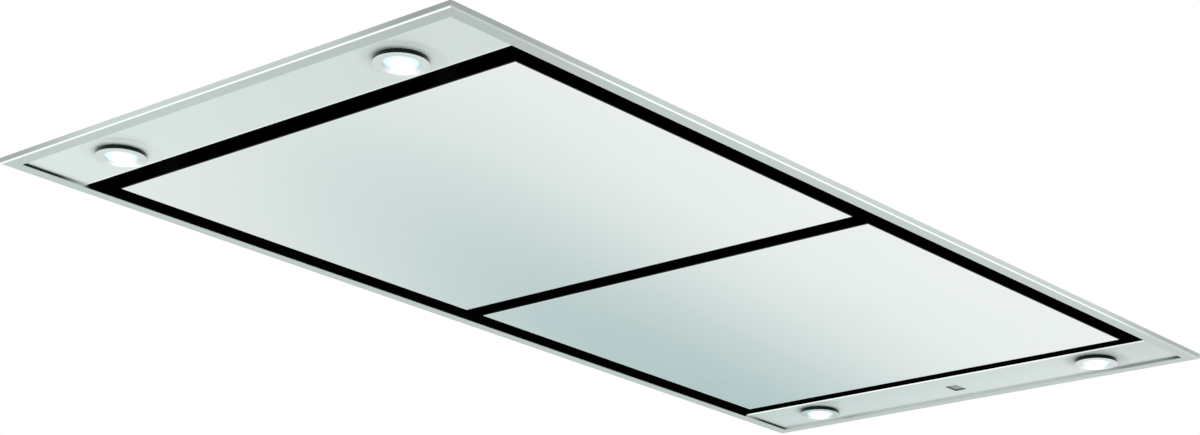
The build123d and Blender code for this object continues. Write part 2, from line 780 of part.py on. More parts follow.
def hinge_arm(x):
    """Arm on the panel's back with the barrel that turns on the pin."""
    half = HINGE_ARM_WIDTH / 2
    barrel = HINGE_BARREL_DIAMETER / 2
    foot_top = Z_PANEL_BACK + HINGE_PLATE
    foot = slab(
        x - half, x + half, HINGE_Y - HINGE_ARM_FOOT, HINGE_Y + barrel, Z_PANEL_BACK, foot_top
    )
    web = slab(x - half, x + half, HINGE_Y - barrel, HINGE_Y + barrel, foot_top, Z_HINGE)
    start = (x - half, HINGE_Y, Z_HINGE)
    end = (x + half, HINGE_Y, Z_HINGE)
    bore = HINGE_PIN_DIAMETER / 2 + PIN_GAP
    return foot + web + rod(barrel, start, end) - rod(bore, start, end)


def hinge_bracket(x):
    """Bracket under the tray's shelf, with two ears for the pin."""
    inner = HINGE_ARM_WIDTH / 2 + HINGE_SIDE_GAP
    outer = inner + HINGE_PLATE
    base_low = Z_TRAY_UNDER - HINGE_PLATE
    reach = HINGE_BASE_LENGTH / 2
    bracket = slab(x - outer, x + outer, HINGE_Y - reach, HINGE_Y + reach, base_low, Z_TRAY_UNDER)
    half = HINGE_EAR_WIDTH / 2
    for side in (LEFT, RIGHT):
        x0 = x + side * inner
        x1 = x + side * outer
        bracket += slab(x0, x1, HINGE_Y - half, HINGE_Y + half, Z_HINGE, base_low)
        bracket += rod(half, (x0, HINGE_Y, Z_HINGE), (x1, HINGE_Y, Z_HINGE))
    bore = HINGE_PIN_DIAMETER / 2 + PIN_GAP
    return bracket - rod(bore, (x - outer, HINGE_Y, Z_HINGE), (x + outer, HINGE_Y, Z_HINGE))


def hinge_pin(x):
    """Hinge pin with a flat head at one end."""
    reach = HINGE_ARM_WIDTH / 2 + HINGE_SIDE_GAP + HINGE_PLATE + FIT_GAP
    head = reach + HINGE_PIN_HEAD_HEIGHT
    shank = rod(HINGE_PIN_DIAMETER / 2, (x - reach, HINGE_Y, Z_HINGE), (x + reach, HINGE_Y, Z_HINGE))
    return shank + rod(HINGE_PIN_HEAD / 2, (x + reach, HINGE_Y, Z_HINGE), (x + head, HINGE_Y, Z_HINGE))


def catch_bracket(x):
    """C-shaped bracket that holds a magnet just above the panel's back."""
    y = CATCH_SETBACK - PANEL_Y
    half_x = CATCH_LENGTH / 2
    half_y = CATCH_WIDTH / 2
    low = Z_PANEL_BACK + RUN_GAP + MAGNET_HEIGHT
    block = slab(x - half_x, x + half_x, y - half_y, y + half_y, low, Z_TRAY_UNDER)
    return block - slab(
        x - half_x - 1,
        x + half_x + 1,
        y - half_y + CATCH_SHEET,
        y + half_y + 1,
        low + CATCH_SHEET,
        Z_TRAY_UNDER - CATCH_SHEET,
    )


def catch_magnet(x):
    """Magnet on the underside of a catch bracket."""
    y = CATCH_SETBACK - PANEL_Y
    half_x = CATCH_LENGTH / 2 - MAGNET_BORDER
    half_y = CATCH_WIDTH / 2 - MAGNET_BORDER
    low = Z_PANEL_BACK + RUN_GAP
    return slab(x - half_x, x + half_x, y - half_y, y + half_y, low, low + MAGNET_HEIGHT)


# ---------------------------------------------------------------- spotlights and receiver
def turned(profile, x, y):
    """A body of revolution about a vertical axis from (radius, height) points."""
    face = Plane.XZ * make_face(Polyline(*profile, close=True))
    return Pos(x, y, 0) * revolve(face, Axis.Z)


def lamp_bezel(x, y):
    """Chromed ring that stands proud of the plate and flares towards its face."""
    face = Z_PLATE - LAMP_PROUD
    lip = face + LAMP_LIP
    top = Z_PLATE + LAMP_NECK_HEIGHT
    bore = LAMP_LENS_DIAMETER / 2 + FIT_GAP
    profile = [
        (LAMP_WINDOW_DIAMETER / 2, face),
        (LAMP_FACE_DIAMETER / 2, face),
        (LAMP_FACE_DIAMETER / 2, face + LAMP_EDGE),
        (LAMP_SEAT_DIAMETER / 2, Z_PLATE),
        (LAMP_NECK_DIAMETER / 2, Z_PLATE),
        (LAMP_NECK_DIAMETER / 2, top),
        (bore, top),
        (bore, lip),
        (LAMP_WINDOW_DIAMETER / 2, lip),
    ]
    return turned(profile, x, y)


def lamp_lens(x, y):
    """Diffusing lens behind the bezel's lip."""
    low = Z_PLATE - LAMP_PROUD + LAMP_LIP
    return rod(LAMP_LENS_DIAMETER / 2, (x, y, low), (x, y, low + LAMP_LENS_THICKNESS))


def lamp_body(x, y):
    """Lamp module with a grooved heat sink above the bezel."""
    low = Z_PLATE - LAMP_PROUD + LAMP_LIP + LAMP_LENS_THICKNESS
    shoulder = Z_PLATE + LAMP_NECK_HEIGHT
    top = shoulder + LAMP_SINK_HEIGHT
    stem = rod(LAMP_LENS_DIAMETER / 2, (x, y, low), (x, y, shoulder))
    body = stem + rod(LAMP_SINK_DIAMETER / 2, (x, y, shoulder), (x, y, top))
    pitch = LAMP_SINK_HEIGHT / (LAMP_SINK_GROOVES + 1)
    core = LAMP_SINK_DIAMETER / 3
    for index in range(LAMP_SINK_GROOVES):
        middle = shoulder + pitch * (index + 1)
        start = (x, y, middle - LAMP_SINK_GROOVE / 2)
        end = (x, y, middle + LAMP_SINK_GROOVE / 2)
        body -= tube(LAMP_SINK_DIAMETER / 2 + 1, core, start, end)
    return body


def lamp_clip(x, y, side):
    """Bent leaf spring that presses on the plate beside the lamp's neck."""
    inner = LAMP_NECK_DIAMETER / 2 + PIN_GAP
    low = Z_PLATE + SHEET + PIN_GAP
    high = low + CLIP_HEIGHT
    line = Polyline(
        (inner + CLIP_SHEET, low + CLIP_SHEET),
        (inner + CLIP_SHEET, high),
        (inner + CLIP_REACH, low + CLIP_SHEET),
    )
    strip = offset(line, CLIP_SHEET / 2, side=Side.BOTH)
    profile = make_face(strip)
    clip = extrude(Plane.YZ * profile, amount=CLIP_WIDTH / 2, both=True)
    if side == FRONT:
        clip = mirror(clip, Plane.XZ)
    return Pos(x, y, 0) * clip


def receiver_window():
    """Smoked window on top of the plate, over its rectangular hole."""
    half_x = WINDOW_LENGTH / 2 + WINDOW_BORDER
    half_y = WINDOW_WIDTH / 2 + WINDOW_BORDER
    low = Z_PLATE + SHEET
    return slab(WINDOW_X - half_x, WINDOW_X + half_x, -half_y, half_y, low, low + WINDOW_THICKNESS)


def receiver_board():
    """Small circuit board with the infrared sensor on its underside."""
    low = Z_PLATE + SHEET + WINDOW_THICKNESS
    half = SENSOR_SIZE / 2
    sensor = slab(WINDOW_X - half, WINDOW_X + half, -half, half, low, low + SENSOR_HEIGHT)
    legs = [
        rod(
            SENSOR_SIZE / 4,
            (WINDOW_X + end * WINDOW_LENGTH / 2, side * WINDOW_WIDTH / 2, low),
            (WINDOW_X + end * WINDOW_LENGTH / 2, side * WINDOW_WIDTH / 2, low + SENSOR_HEIGHT),
        )
        for end, side in CORNERS
    ]
    board_low = low + SENSOR_HEIGHT
    board = slab(
        WINDOW_X - RECEIVER_LENGTH / 2,
        WINDOW_X + RECEIVER_LENGTH / 2,
        -RECEIVER_WIDTH / 2,
        RECEIVER_WIDTH / 2,
        board_low,
        board_low + BOARD_THICKNESS,
    )
    for leg in legs:
        board += leg
    return board + sensor


# ---------------------------------------------------------------- blower
def scroll_outline(grow, top):
    """Side view of the blower housing, grown outwards by a wall and open at the top."""
    start = SCROLL_START + grow
    first = math.acos((MOUTH_Y + grow - BLOWER_Y) / start)
    steps = 14
    points = []
    for step in range(steps + 1):
        share = step / steps
        angle = first - share * (first + math.pi)
        radius = start + share * SCROLL_GROWTH
        points.append((BLOWER_Y + radius * math.cos(angle), blower_z() + radius * math.sin(angle)))
    mouth = Polyline(points[-1], (-MOUTH_Y - grow, top), (MOUTH_Y + grow, top), points[0])
    return Plane.YZ * make_face(Spline(*points) + mouth)


def blower_z():
    """Height of the impeller's axis, which puts the housing just above the filters."""
    first = math.acos((MOUTH_Y - BLOWER_Y) / SCROLL_START)
    share = (first + math.pi / 2) / (first + math.pi)
    lowest = SCROLL_START + share * SCROLL_GROWTH + SHEET
    return Z_FILTER_TOP + SCROLL_FLOOR_GAP + lowest


def mouth_flange_low():
    """Underside of the scroll's flange against the roof."""
    return Z_ROOF - SCROLL_SHEET


def blower_scroll():
    """Spiral wall of the blower with its mouth flange under the roof."""
    low = mouth_flange_low()
    wall = extrude(scroll_outline(SHEET, low), amount=MOUTH_X, both=True)
    wall -= extrude(scroll_outline(0, Z_ROOF + 1), amount=MOUTH_X + 1, both=True)
    half = OUTLET_FLANGE / 2
    flange = slab(-half, half, -half, half, low, Z_ROOF)
    flange -= slab(-MOUTH_X, MOUTH_X, -MOUTH_Y, MOUTH_Y, low - 1, Z_ROOF + 1)
    return drilled(wall + flange, collar_fixings())


def blower_side(end):
    """Flat side of the blower housing, with a lipped inlet."""
    side = extrude(scroll_outline(SHEET, mouth_flange_low()), amount=SCROLL_SHEET)
    side = Pos(MOUTH_X if end == RIGHT else -SIDE_X, 0, 0) * side
    radius = INLET_DIAMETER / 2
    inner = (end * (MOUTH_X - INLET_LIP), BLOWER_Y, blower_z())
    outer = (end * (SIDE_X + 1), BLOWER_Y, blower_z())
    seat = (end * MOUTH_X, BLOWER_Y, blower_z())
    side += rod(radius + SCROLL_SHEET, inner, seat)
    return side - rod(radius, offset_point(inner, (-end, 0, 0), 1), outer)


def axis_point(x):
    """A point on the blower's axis."""
    return (x, BLOWER_Y, blower_z())


def impeller():
    """Double-inlet wheel of sheet: a centre disc on a hub, two end rings and raked blades."""
    half = IMPELLER_WIDTH / 2
    ring_inner = IMPELLER_RADIUS - BLADE_CHORD
    bore = SHAFT_DIAMETER / 2 + PIN_GAP
    wheel = rod(IMPELLER_RADIUS, axis_point(-IMPELLER_DISC / 2), axis_point(IMPELLER_DISC / 2))
    wheel += rod(HUB_DIAMETER / 2, axis_point(-HUB_LENGTH / 2), axis_point(HUB_LENGTH / 2))
    wheel -= rod(bore, axis_point(-HUB_LENGTH), axis_point(HUB_LENGTH))
    blade_radius = IMPELLER_RADIUS - BLADE_CHORD / 2
    length = IMPELLER_WIDTH - 2 * IMPELLER_RING
    blades = []
    for index in range(BLADE_COUNT):
        place = Rot(X=360 / BLADE_COUNT * index) * Pos(0, blade_radius, 0) * Rot(X=BLADE_ANGLE)
        blade = place * Box(length, BLADE_CHORD - 2 * BLADE_THICKNESS, BLADE_THICKNESS)
        blades.append(Pos(*axis_point(0)) * blade)
        wheel -= blades[-1]
    rings = []
    for end in (LEFT, RIGHT):
        inner = axis_point(end * (half - IMPELLER_RING))
        rings.append(tube(IMPELLER_RADIUS, ring_inner, inner, axis_point(end * half)))
    return [wheel, *rings, *blades]


def motor_front():
    """X of the motor's front face, just behind the impeller's hub."""
    return -HUB_LENGTH / 2 - MOTOR_FRONT_GAP


def motor_body():
    """Motor can in the left inlet, bored for its shaft."""
    neck = -SIDE_X + MOTOR_NECK_LENGTH
    can = rod(MOTOR_DIAMETER / 2, axis_point(neck), axis_point(motor_front()))
    can += rod(MOTOR_NECK_DIAMETER / 2, axis_point(-SIDE_X), axis_point(neck))
    return can - rod(SHAFT_DIAMETER / 2 + PIN_GAP, axis_point(neck), axis_point(0))


def motor_shaft():
    """Shaft from the motor through the impeller's hub."""
    neck = -SIDE_X + MOTOR_NECK_LENGTH
    return rod(SHAFT_DIAMETER / 2, axis_point(neck + 1), axis_point(HUB_LENGTH / 2 + NUT_HEIGHT + 2))


def impeller_nut():
    """Nut that clamps the impeller on its shaft."""
    start = axis_point(HUB_LENGTH / 2)
    end = axis_point(HUB_LENGTH / 2 + NUT_HEIGHT)
    return hexagon_bar(NUT_FLATS, start, end) - rod(SHAFT_DIAMETER / 2 + PIN_GAP, start, end)


def motor_mount():
    """Three-armed spider that carries the motor on the left inlet."""
    inner = axis_point(-SIDE_X)
    outer = axis_point(-SIDE_X - SCROLL_SHEET)
    ring_inner = INLET_DIAMETER / 2 + MOUNT_RING_OVERLAP
    ring_outer = ring_inner + MOUNT_RING_WIDTH
    spider = tube(ring_outer, ring_inner, inner, outer)
    spider += rod(MOUNT_HUB_DIAMETER / 2, inner, outer)
    for index in range(MOUNT_ARMS):
        arm = Box(SCROLL_SHEET, MOUNT_ARM_WIDTH, ring_inner + MOUNT_RING_WIDTH / 2)
        arm = Rot(X=360 / MOUNT_ARMS * index) * Pos(0, 0, ring_inner / 2 + MOUNT_RING_WIDTH / 4) * arm
        spider += Pos(*axis_point(-SIDE_X - SCROLL_SHEET / 2)) * arm
    return spider


# ---------------------------------------------------------------- outlet
def flap_axis_z():
    """Height of the pin that both flaps hang on."""
    seat = Z_BODY_TOP + OUTLET_WALL
    return seat + RUN_GAP + FLAP_BARREL_DIAMETER / 2


def outlet_collar():
    """Duct collar with a square flange, a seat for the flaps and a stop for the duct."""
    seat = Z_BODY_TOP + OUTLET_WALL
    top = Z_BODY_TOP + OUTLET_HEIGHT
    bore = OUTLET_RADIUS - OUTLET_WALL
    half = OUTLET_FLANGE / 2
    collar = slab(-half, half, -half, half, Z_BODY_TOP, seat)
    collar += rod(OUTLET_RADIUS, (0, 0, seat), (0, 0, top))
    stop = seat + OUTLET_STOP_RISE
    collar += rod(
        OUTLET_RADIUS + OUTLET_STOP_WIDTH, (0, 0, stop), (0, 0, stop + OUTLET_STOP_HEIGHT)
    )
    collar -= rod(bore, (0, 0, seat), (0, 0, top + 1))
    collar -= rod(bore - OUTLET_SEAT, (0, 0, Z_BODY_TOP - 1), (0, 0, seat + 1))
    z = flap_axis_z()
    reach = OUTLET_RADIUS + OUTLET_STOP_WIDTH + 1
    collar -= rod(FLAP_PIN_DIAMETER / 2 + PIN_GAP, (-reach, 0, z), (reach, 0, z))
    return drilled(collar, collar_fixings())


def flap_pin():
    """Pin across the collar."""
    reach = OUTLET_RADIUS - OUTLET_WALL / 4
    z = flap_axis_z()
    return rod(FLAP_PIN_DIAMETER / 2, (-reach, 0, z), (reach, 0, z))


def flap(side):
    """Half-round leaf with two barrels on the pin."""
    z = flap_axis_z()
    low = Z_BODY_TOP + OUTLET_WALL + RUN_GAP
    high = low + FLAP_THICKNESS
    radius = OUTLET_RADIUS - OUTLET_WALL - FLAP_GAP
    barrel = FLAP_BARREL_DIAMETER / 2
    edge = side * (barrel + FLAP_EDGE_GAP)
    leaf = rod(radius, (0, 0, low), (0, 0, high))
    leaf -= slab(-radius - 1, radius + 1, edge, -side * (radius + 1), low - 1, high + 1)
    bore = FLAP_PIN_DIAMETER / 2 + PIN_GAP
    shift = side * FLAP_BARREL_PITCH / 2
    for pair in (LEFT, RIGHT):
        middle = shift + pair * FLAP_BARREL_PITCH * 2
        x0 = middle - FLAP_BARREL_LENGTH / 2
        x1 = middle + FLAP_BARREL_LENGTH / 2
        leaf += slab(x0, x1, 0, edge + side * FLAP_EDGE_GAP, low, high)
        leaf += rod(barrel, (x0, 0, z), (x1, 0, z))
    return leaf - rod(bore, (-radius, 0, z), (radius, 0, z))


# ---------------------------------------------------------------- electronics
def control_corners(inset):
    """Plan limits of the control box, moved in by an inset."""
    half_x = CONTROL_LENGTH / 2 - inset
    half_y = CONTROL_WIDTH / 2 - inset
    return CONTROL_X - half_x, CONTROL_X + half_x, CONTROL_Y - half_y, CONTROL_Y + half_y


def gland_place():
    """Plan position of the cable gland, at the terminal end of the control box."""
    x0, x1, y0, y1 = control_corners(CONTROL_WALL + GLAND_FLATS)
    return x1, y1


def board_corners():
    """Plan limits of the main circuit board."""
    x0, x1, y0, y1 = control_corners(CONTROL_WALL + FIT_GAP)
    middle = (y0 + y1) / 2
    return x0, x0 + BOARD_LENGTH, middle - BOARD_WIDTH / 2, middle + BOARD_WIDTH / 2


def board_posts():
    """Plan positions of the board's four posts."""
    x0, x1, y0, y1 = board_corners()
    inset = BOARD_POST_DIAMETER
    return [(x, y) for x in (x0 + inset, x1 - inset) for y in (y0 + inset, y1 - inset)]


def control_box():
    """Plastic box under the roof, open below, with posts for the board."""
    low = Z_ROOF - CONTROL_HEIGHT
    inner_top = Z_ROOF - CONTROL_WALL
    box = slab(*control_corners(0), low, Z_ROOF)
    box -= slab(*control_corners(CONTROL_WALL), low - 1, inner_top)
    for x, y in board_posts():
        box += rod(BOARD_POST_DIAMETER / 2, (x, y, inner_top - BOARD_POST_HEIGHT), (x, y, inner_top))
    x, y = gland_place()
    box -= rod(GLAND_DIAMETER / 2 + PIN_GAP, (x, y, inner_top - 1), (x, y, Z_ROOF + 1))
    return drilled(box, box_fixings())


def control_box_lid():
    """Snap-on lid of the control box."""
    low = Z_ROOF - CONTROL_HEIGHT
    lid = slab(*control_corners(0), low - CONTROL_WALL, low)
    lip = slab(*control_corners(CONTROL_WALL + FIT_GAP), low, low + CONTROL_WALL)
    return lid + lip - slab(*control_corners(2 * CONTROL_WALL), low, low + CONTROL_WALL + 1)


def control_board():
    """Main board with relays, a transformer, a capacitor and a fuse."""
    x0, x1, y0, y1 = board_corners()
    top = Z_ROOF - CONTROL_WALL - BOARD_POST_HEIGHT
    low = top - BOARD_THICKNESS
    board = slab(x0, x1, y0, y1, low, top)
    unit = BOARD_WIDTH / 8
    for index in range(3):
        relay_x = x0 + unit * (1.5 + 2 * index)
        board += slab(relay_x, relay_x + unit * 1.4, y0 + unit, y0 + unit * 2.6, low - unit, low)
    board += slab(x0 + unit, x0 + unit * 4, y1 - unit * 4, y1 - unit, low - unit * 1.6, low)
    cap = (x0 + unit * 5.5, y1 - unit * 2.5, low)
    board += rod(unit * 0.7, cap, offset_point(cap, (0, 0, -1), unit * 1.7))
    fuse_x = x0 + unit * 7.4
    fuse = [(fuse_x, y1 - unit * k, low - unit / 4) for k in (1, 3)]
    return board + rod(unit / 3, *fuse)


def terminal_block():
    """Screw terminals for the mains supply, beside the board."""
    x0, x1, y0, y1 = control_corners(CONTROL_WALL)
    top = Z_ROOF - CONTROL_WALL
    near = y0 + GLAND_FLATS / 2
    block = slab(
        x1 - TERMINAL_WIDTH, x1 - FIT_GAP, near, near + TERMINAL_LENGTH, top - TERMINAL_HEIGHT, top
    )
    pitch = TERMINAL_LENGTH / TERMINAL_WAYS
    for index in range(TERMINAL_WAYS):
        y = near + pitch * (index + 0.5)
        x = x1 - TERMINAL_WIDTH / 2
        block -= rod(pitch / 3, (x, y, top - TERMINAL_HEIGHT - 1), (x, y, top - TERMINAL_HEIGHT / 2))
    return block


def cable_gland():
    """Gland through the roof for a mains cable: body, cap above and nut below."""
    x, y = gland_place()
    low = Z_ROOF - CONTROL_WALL
    gland = rod(GLAND_DIAMETER / 2, (x, y, low - GLAND_NUT_HEIGHT), (x, y, Z_BODY_TOP))
    gland += hexagon_bar(GLAND_FLATS, (x, y, low - GLAND_NUT_HEIGHT), (x, y, low))
    base = Z_BODY_TOP + GLAND_NUT_HEIGHT
    gland += hexagon_bar(GLAND_FLATS, (x, y, Z_BODY_TOP), (x, y, base))
    cap = Cone(GLAND_FLATS / 2, GLAND_DIAMETER / 2, GLAND_CAP_HEIGHT - GLAND_NUT_HEIGHT, align=LOW)
    gland += Pos(x, y, base) * cap
    top = Z_BODY_TOP + GLAND_CAP_HEIGHT + 1
    return gland - rod(GLAND_BORE / 2, (x, y, low - GLAND_NUT_HEIGHT - 1), (x, y, top))


def led_driver():
    """Potted supply for the spotlights, under the roof at the rear."""
    half_x = DRIVER_LENGTH / 2
    half_y = DRIVER_WIDTH / 2
    low = Z_ROOF - DRIVER_HEIGHT
    body = slab(DRIVER_X - half_x, DRIVER_X + half_x, DRIVER_Y - half_y, DRIVER_Y + half_y, low, Z_ROOF)
    body = fillet(body.edges().group_by(Axis.Z)[0], DRIVER_RADIUS)
    return drilled(body, box_fixings())


def lead(*points):
    """A round lead along straight runs joined by tangent arcs."""
    path = FilletPolyline(*points, radius=LEAD_BEND)
    section = Plane(origin=path @ 0, z_dir=path % 0) * Circle(LEAD_DIAMETER / 2)
    return sweep(section, path=path)


def internal_leads():
    """Leads clipped along the roof, from each lamp to the driver."""
    height = Z_ROOF - RUN_GAP - LEAD_DIAMETER / 2
    start = Z_PLATE + LAMP_NECK_HEIGHT + LAMP_SINK_HEIGHT
    leads = []
    for end, side in CORNERS:
        x, y = lamp_place(end, side)
        target_x = DRIVER_X + end * DRIVER_LENGTH / 2
        rise = [(x, y, start), (x, y, height)]
        if side == REAR:
            leads.append(lead(*rise, (target_x, y, height)))
        else:
            across = -y - LEAD_SPACING
            leads.append(lead(*rise, (x, across, height), (target_x, across, height)))
    return leads


# ---------------------------------------------------------------- write every node
os.makedirs("parts", exist_ok=True)

save("trim_frame", trim_frame())
save("lamp_plate_left", lamp_plate(LEFT))
save("lamp_plate_right", lamp_plate(RIGHT))
save("body_roof", body_roof())
save("side_wall_front", side_wall(FRONT))
save("side_wall_rear", side_wall(REAR))
save("end_wall_left", end_wall(LEFT))
save("end_wall_right", end_wall(RIGHT))
save("tray_shelf", tray_shelf())
save(
    "tray_walls",
    tray_side_wall(FRONT),
    tray_side_wall(REAR),
    tray_end_wall(LEFT),
    tray_end_wall(RIGHT),
)
save("centre_rail", centre_rail())
save("suspension_brackets", *[suspension_bracket(end, side) for end, side in CORNERS])
save("bracket_bolts", *bracket_bolts())
save("frame_screws", *frame_screws())

for panel, end in (("left", LEFT), ("right", RIGHT)):
    save(f"panel_skin_{panel}", panel_skin(end))
    save(f"panel_back_{panel}", panel_back(end))
    save(f"hinge_arms_{panel}", *[hinge_arm(x) for x in hinge_places(end)])

ALL_HINGES = hinge_places(LEFT) + hinge_places(RIGHT)
save("hinge_brackets", *[hinge_bracket(x) for x in ALL_HINGES])
save("hinge_pins", *[hinge_pin(x) for x in ALL_HINGES])
save("catch_brackets", *[catch_bracket(x) for x in ALL_HINGES])
save("catch_magnets", *[catch_magnet(x) for x in ALL_HINGES])

for number, place_x in enumerate(filter_places(), start=1):
    save(f"filter_frame_{number}", filter_frame(place_x))
    save(f"filter_mesh_{number}", filter_mesh(place_x))
    save(f"filter_latch_{number}", filter_latch(place_x))

save("blower_scroll", blower_scroll())
save("blower_sides", blower_side(LEFT), blower_side(RIGHT))
save("impeller", *impeller())
save("impeller_nut", impeller_nut())
save("motor_body", motor_body())
save("motor_shaft", motor_shaft())
save("motor_mount", motor_mount())

save("outlet_collar", outlet_collar())
save("flap_pin", flap_pin())
save("flap_front", flap(FRONT))
save("flap_rear", flap(REAR))

save("control_box", control_box())
save("control_box_lid", control_box_lid())
save("control_board", control_board())
save("terminal_block", terminal_block())
save("cable_gland", cable_gland())
save("led_driver", led_driver())
save("internal_leads", *internal_leads())

LAMP_PLACES = [lamp_place(end, side) for end, side in CORNERS]
save("lamp_bezels", *[lamp_bezel(x, y) for x, y in LAMP_PLACES])
save("lamp_lenses", *[lamp_lens(x, y) for x, y in LAMP_PLACES])
save("lamp_bodies", *[lamp_body(x, y) for x, y in LAMP_PLACES])
save("lamp_clips", *[lamp_clip(x, y, side) for x, y in LAMP_PLACES for side in (FRONT, REAR)])
save("receiver_window", receiver_window())
save("receiver_board", receiver_board())
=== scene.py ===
import math

import bmesh
import bpy
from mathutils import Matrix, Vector


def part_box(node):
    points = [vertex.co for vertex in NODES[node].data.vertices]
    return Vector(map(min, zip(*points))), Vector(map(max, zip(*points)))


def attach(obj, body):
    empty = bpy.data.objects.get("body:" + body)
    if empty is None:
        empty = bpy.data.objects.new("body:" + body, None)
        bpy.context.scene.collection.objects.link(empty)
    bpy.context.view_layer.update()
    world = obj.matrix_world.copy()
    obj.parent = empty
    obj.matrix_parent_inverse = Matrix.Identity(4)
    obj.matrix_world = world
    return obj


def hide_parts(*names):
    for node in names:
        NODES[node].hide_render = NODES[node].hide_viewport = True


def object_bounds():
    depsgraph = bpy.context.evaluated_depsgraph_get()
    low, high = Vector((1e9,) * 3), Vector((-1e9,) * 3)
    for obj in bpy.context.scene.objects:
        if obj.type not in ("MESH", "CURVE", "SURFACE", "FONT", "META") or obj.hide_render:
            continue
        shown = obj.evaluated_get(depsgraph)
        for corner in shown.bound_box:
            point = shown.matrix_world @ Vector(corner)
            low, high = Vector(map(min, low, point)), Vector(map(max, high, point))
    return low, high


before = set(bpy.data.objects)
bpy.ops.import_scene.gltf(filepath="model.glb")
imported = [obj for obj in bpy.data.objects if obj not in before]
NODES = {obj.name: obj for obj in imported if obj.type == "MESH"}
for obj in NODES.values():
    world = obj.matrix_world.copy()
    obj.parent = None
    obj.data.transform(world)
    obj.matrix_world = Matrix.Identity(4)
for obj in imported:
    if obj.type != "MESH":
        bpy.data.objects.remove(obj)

# The ceiling range hood, seen from below as it hangs under a ceiling. Metres, as in the frame:
# the left end is at -X, the front at -Y, and the visible face at the bottom.
CAD_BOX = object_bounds()
HALF_LENGTH = CAD_BOX[1][0]
HALF_WIDTH = CAD_BOX[1][1]

# Camera, as fitted to the visible face in the photograph
CAMERA_PLACE = (-1.85339, -1.62184, -1.11640)
CAMERA_TURN = (109.5493, -1.7544, -49.5621)
CAMERA_LENS = 74.96
CAMERA_SENSOR = 36.0
CAMERA_SHIFT = -0.05196

# Places on the part that its finishes follow
LAMP_X = 0.545
LAMP_Y_LEFT = 0.187
LAMP_Y_RIGHT = 0.1975
LAMP_SEAT_RADIUS = 0.0222
LENS_RADIUS = 0.0165
LENS_RINGS = 5200.0
# Centres of the painted lamp glow on the metal and on the black slots lie this far beside the lamp axes
GLOW_SHIFT = (0.0165, 0.0145)
SLOT_GLOW_SHIFT = (0.035, 0.030)
RIM_BAND = 0.0142
RECEIVER_X = 0.5522
RECEIVER_HALF_LENGTH = 0.0118
RECEIVER_HALF_WIDTH = 0.0083

# Stage
CEILING_Z = -0.2948
CEILING_HOLE = (0.590, 0.290)
CEILING_REACH = (2.6, 2.3)
FLOOR_Z = -2.3
FLOOR_REACH = 40.0
FLOOR_BAND_PLACE = (4.54, 4.49)
FLOOR_BAND_TURN = 18.3
FLOOR_BAND_BEND = 0.18

# Expanded mesh of the grease filters
MESH_ROW = 0.006
MESH_STEP = 0.006
MESH_SWAY = 0.0026
MESH_COLUMN = 0.009
STRAND_HALF = 0.0006
STRAND_DEPTH = 0.0007
ROWS_UP = 0.0001
COLUMNS_UP = 0.0012
CORE_UP = 0.0025
MESH_END_GAP = 0.001
POCKET_HALF = 0.0256
POCKET_DEPTH = 0.0374


# ---------------------------------------------------------------- camera
def make_camera():
    """Below and beside the hood, looking up along it."""
    data = bpy.data.cameras.new("camera")
    data.lens = CAMERA_LENS
    data.sensor_width = CAMERA_SENSOR
    data.shift_x = CAMERA_SHIFT
    data.clip_start = 0.05
    data.clip_end = 200.0
    camera = bpy.data.objects.new("camera", data)
    camera.location = CAMERA_PLACE
    camera.rotation_euler = [math.radians(angle) for angle in CAMERA_TURN]
    bpy.context.scene.collection.objects.link(camera)
    bpy.context.scene.camera = camera


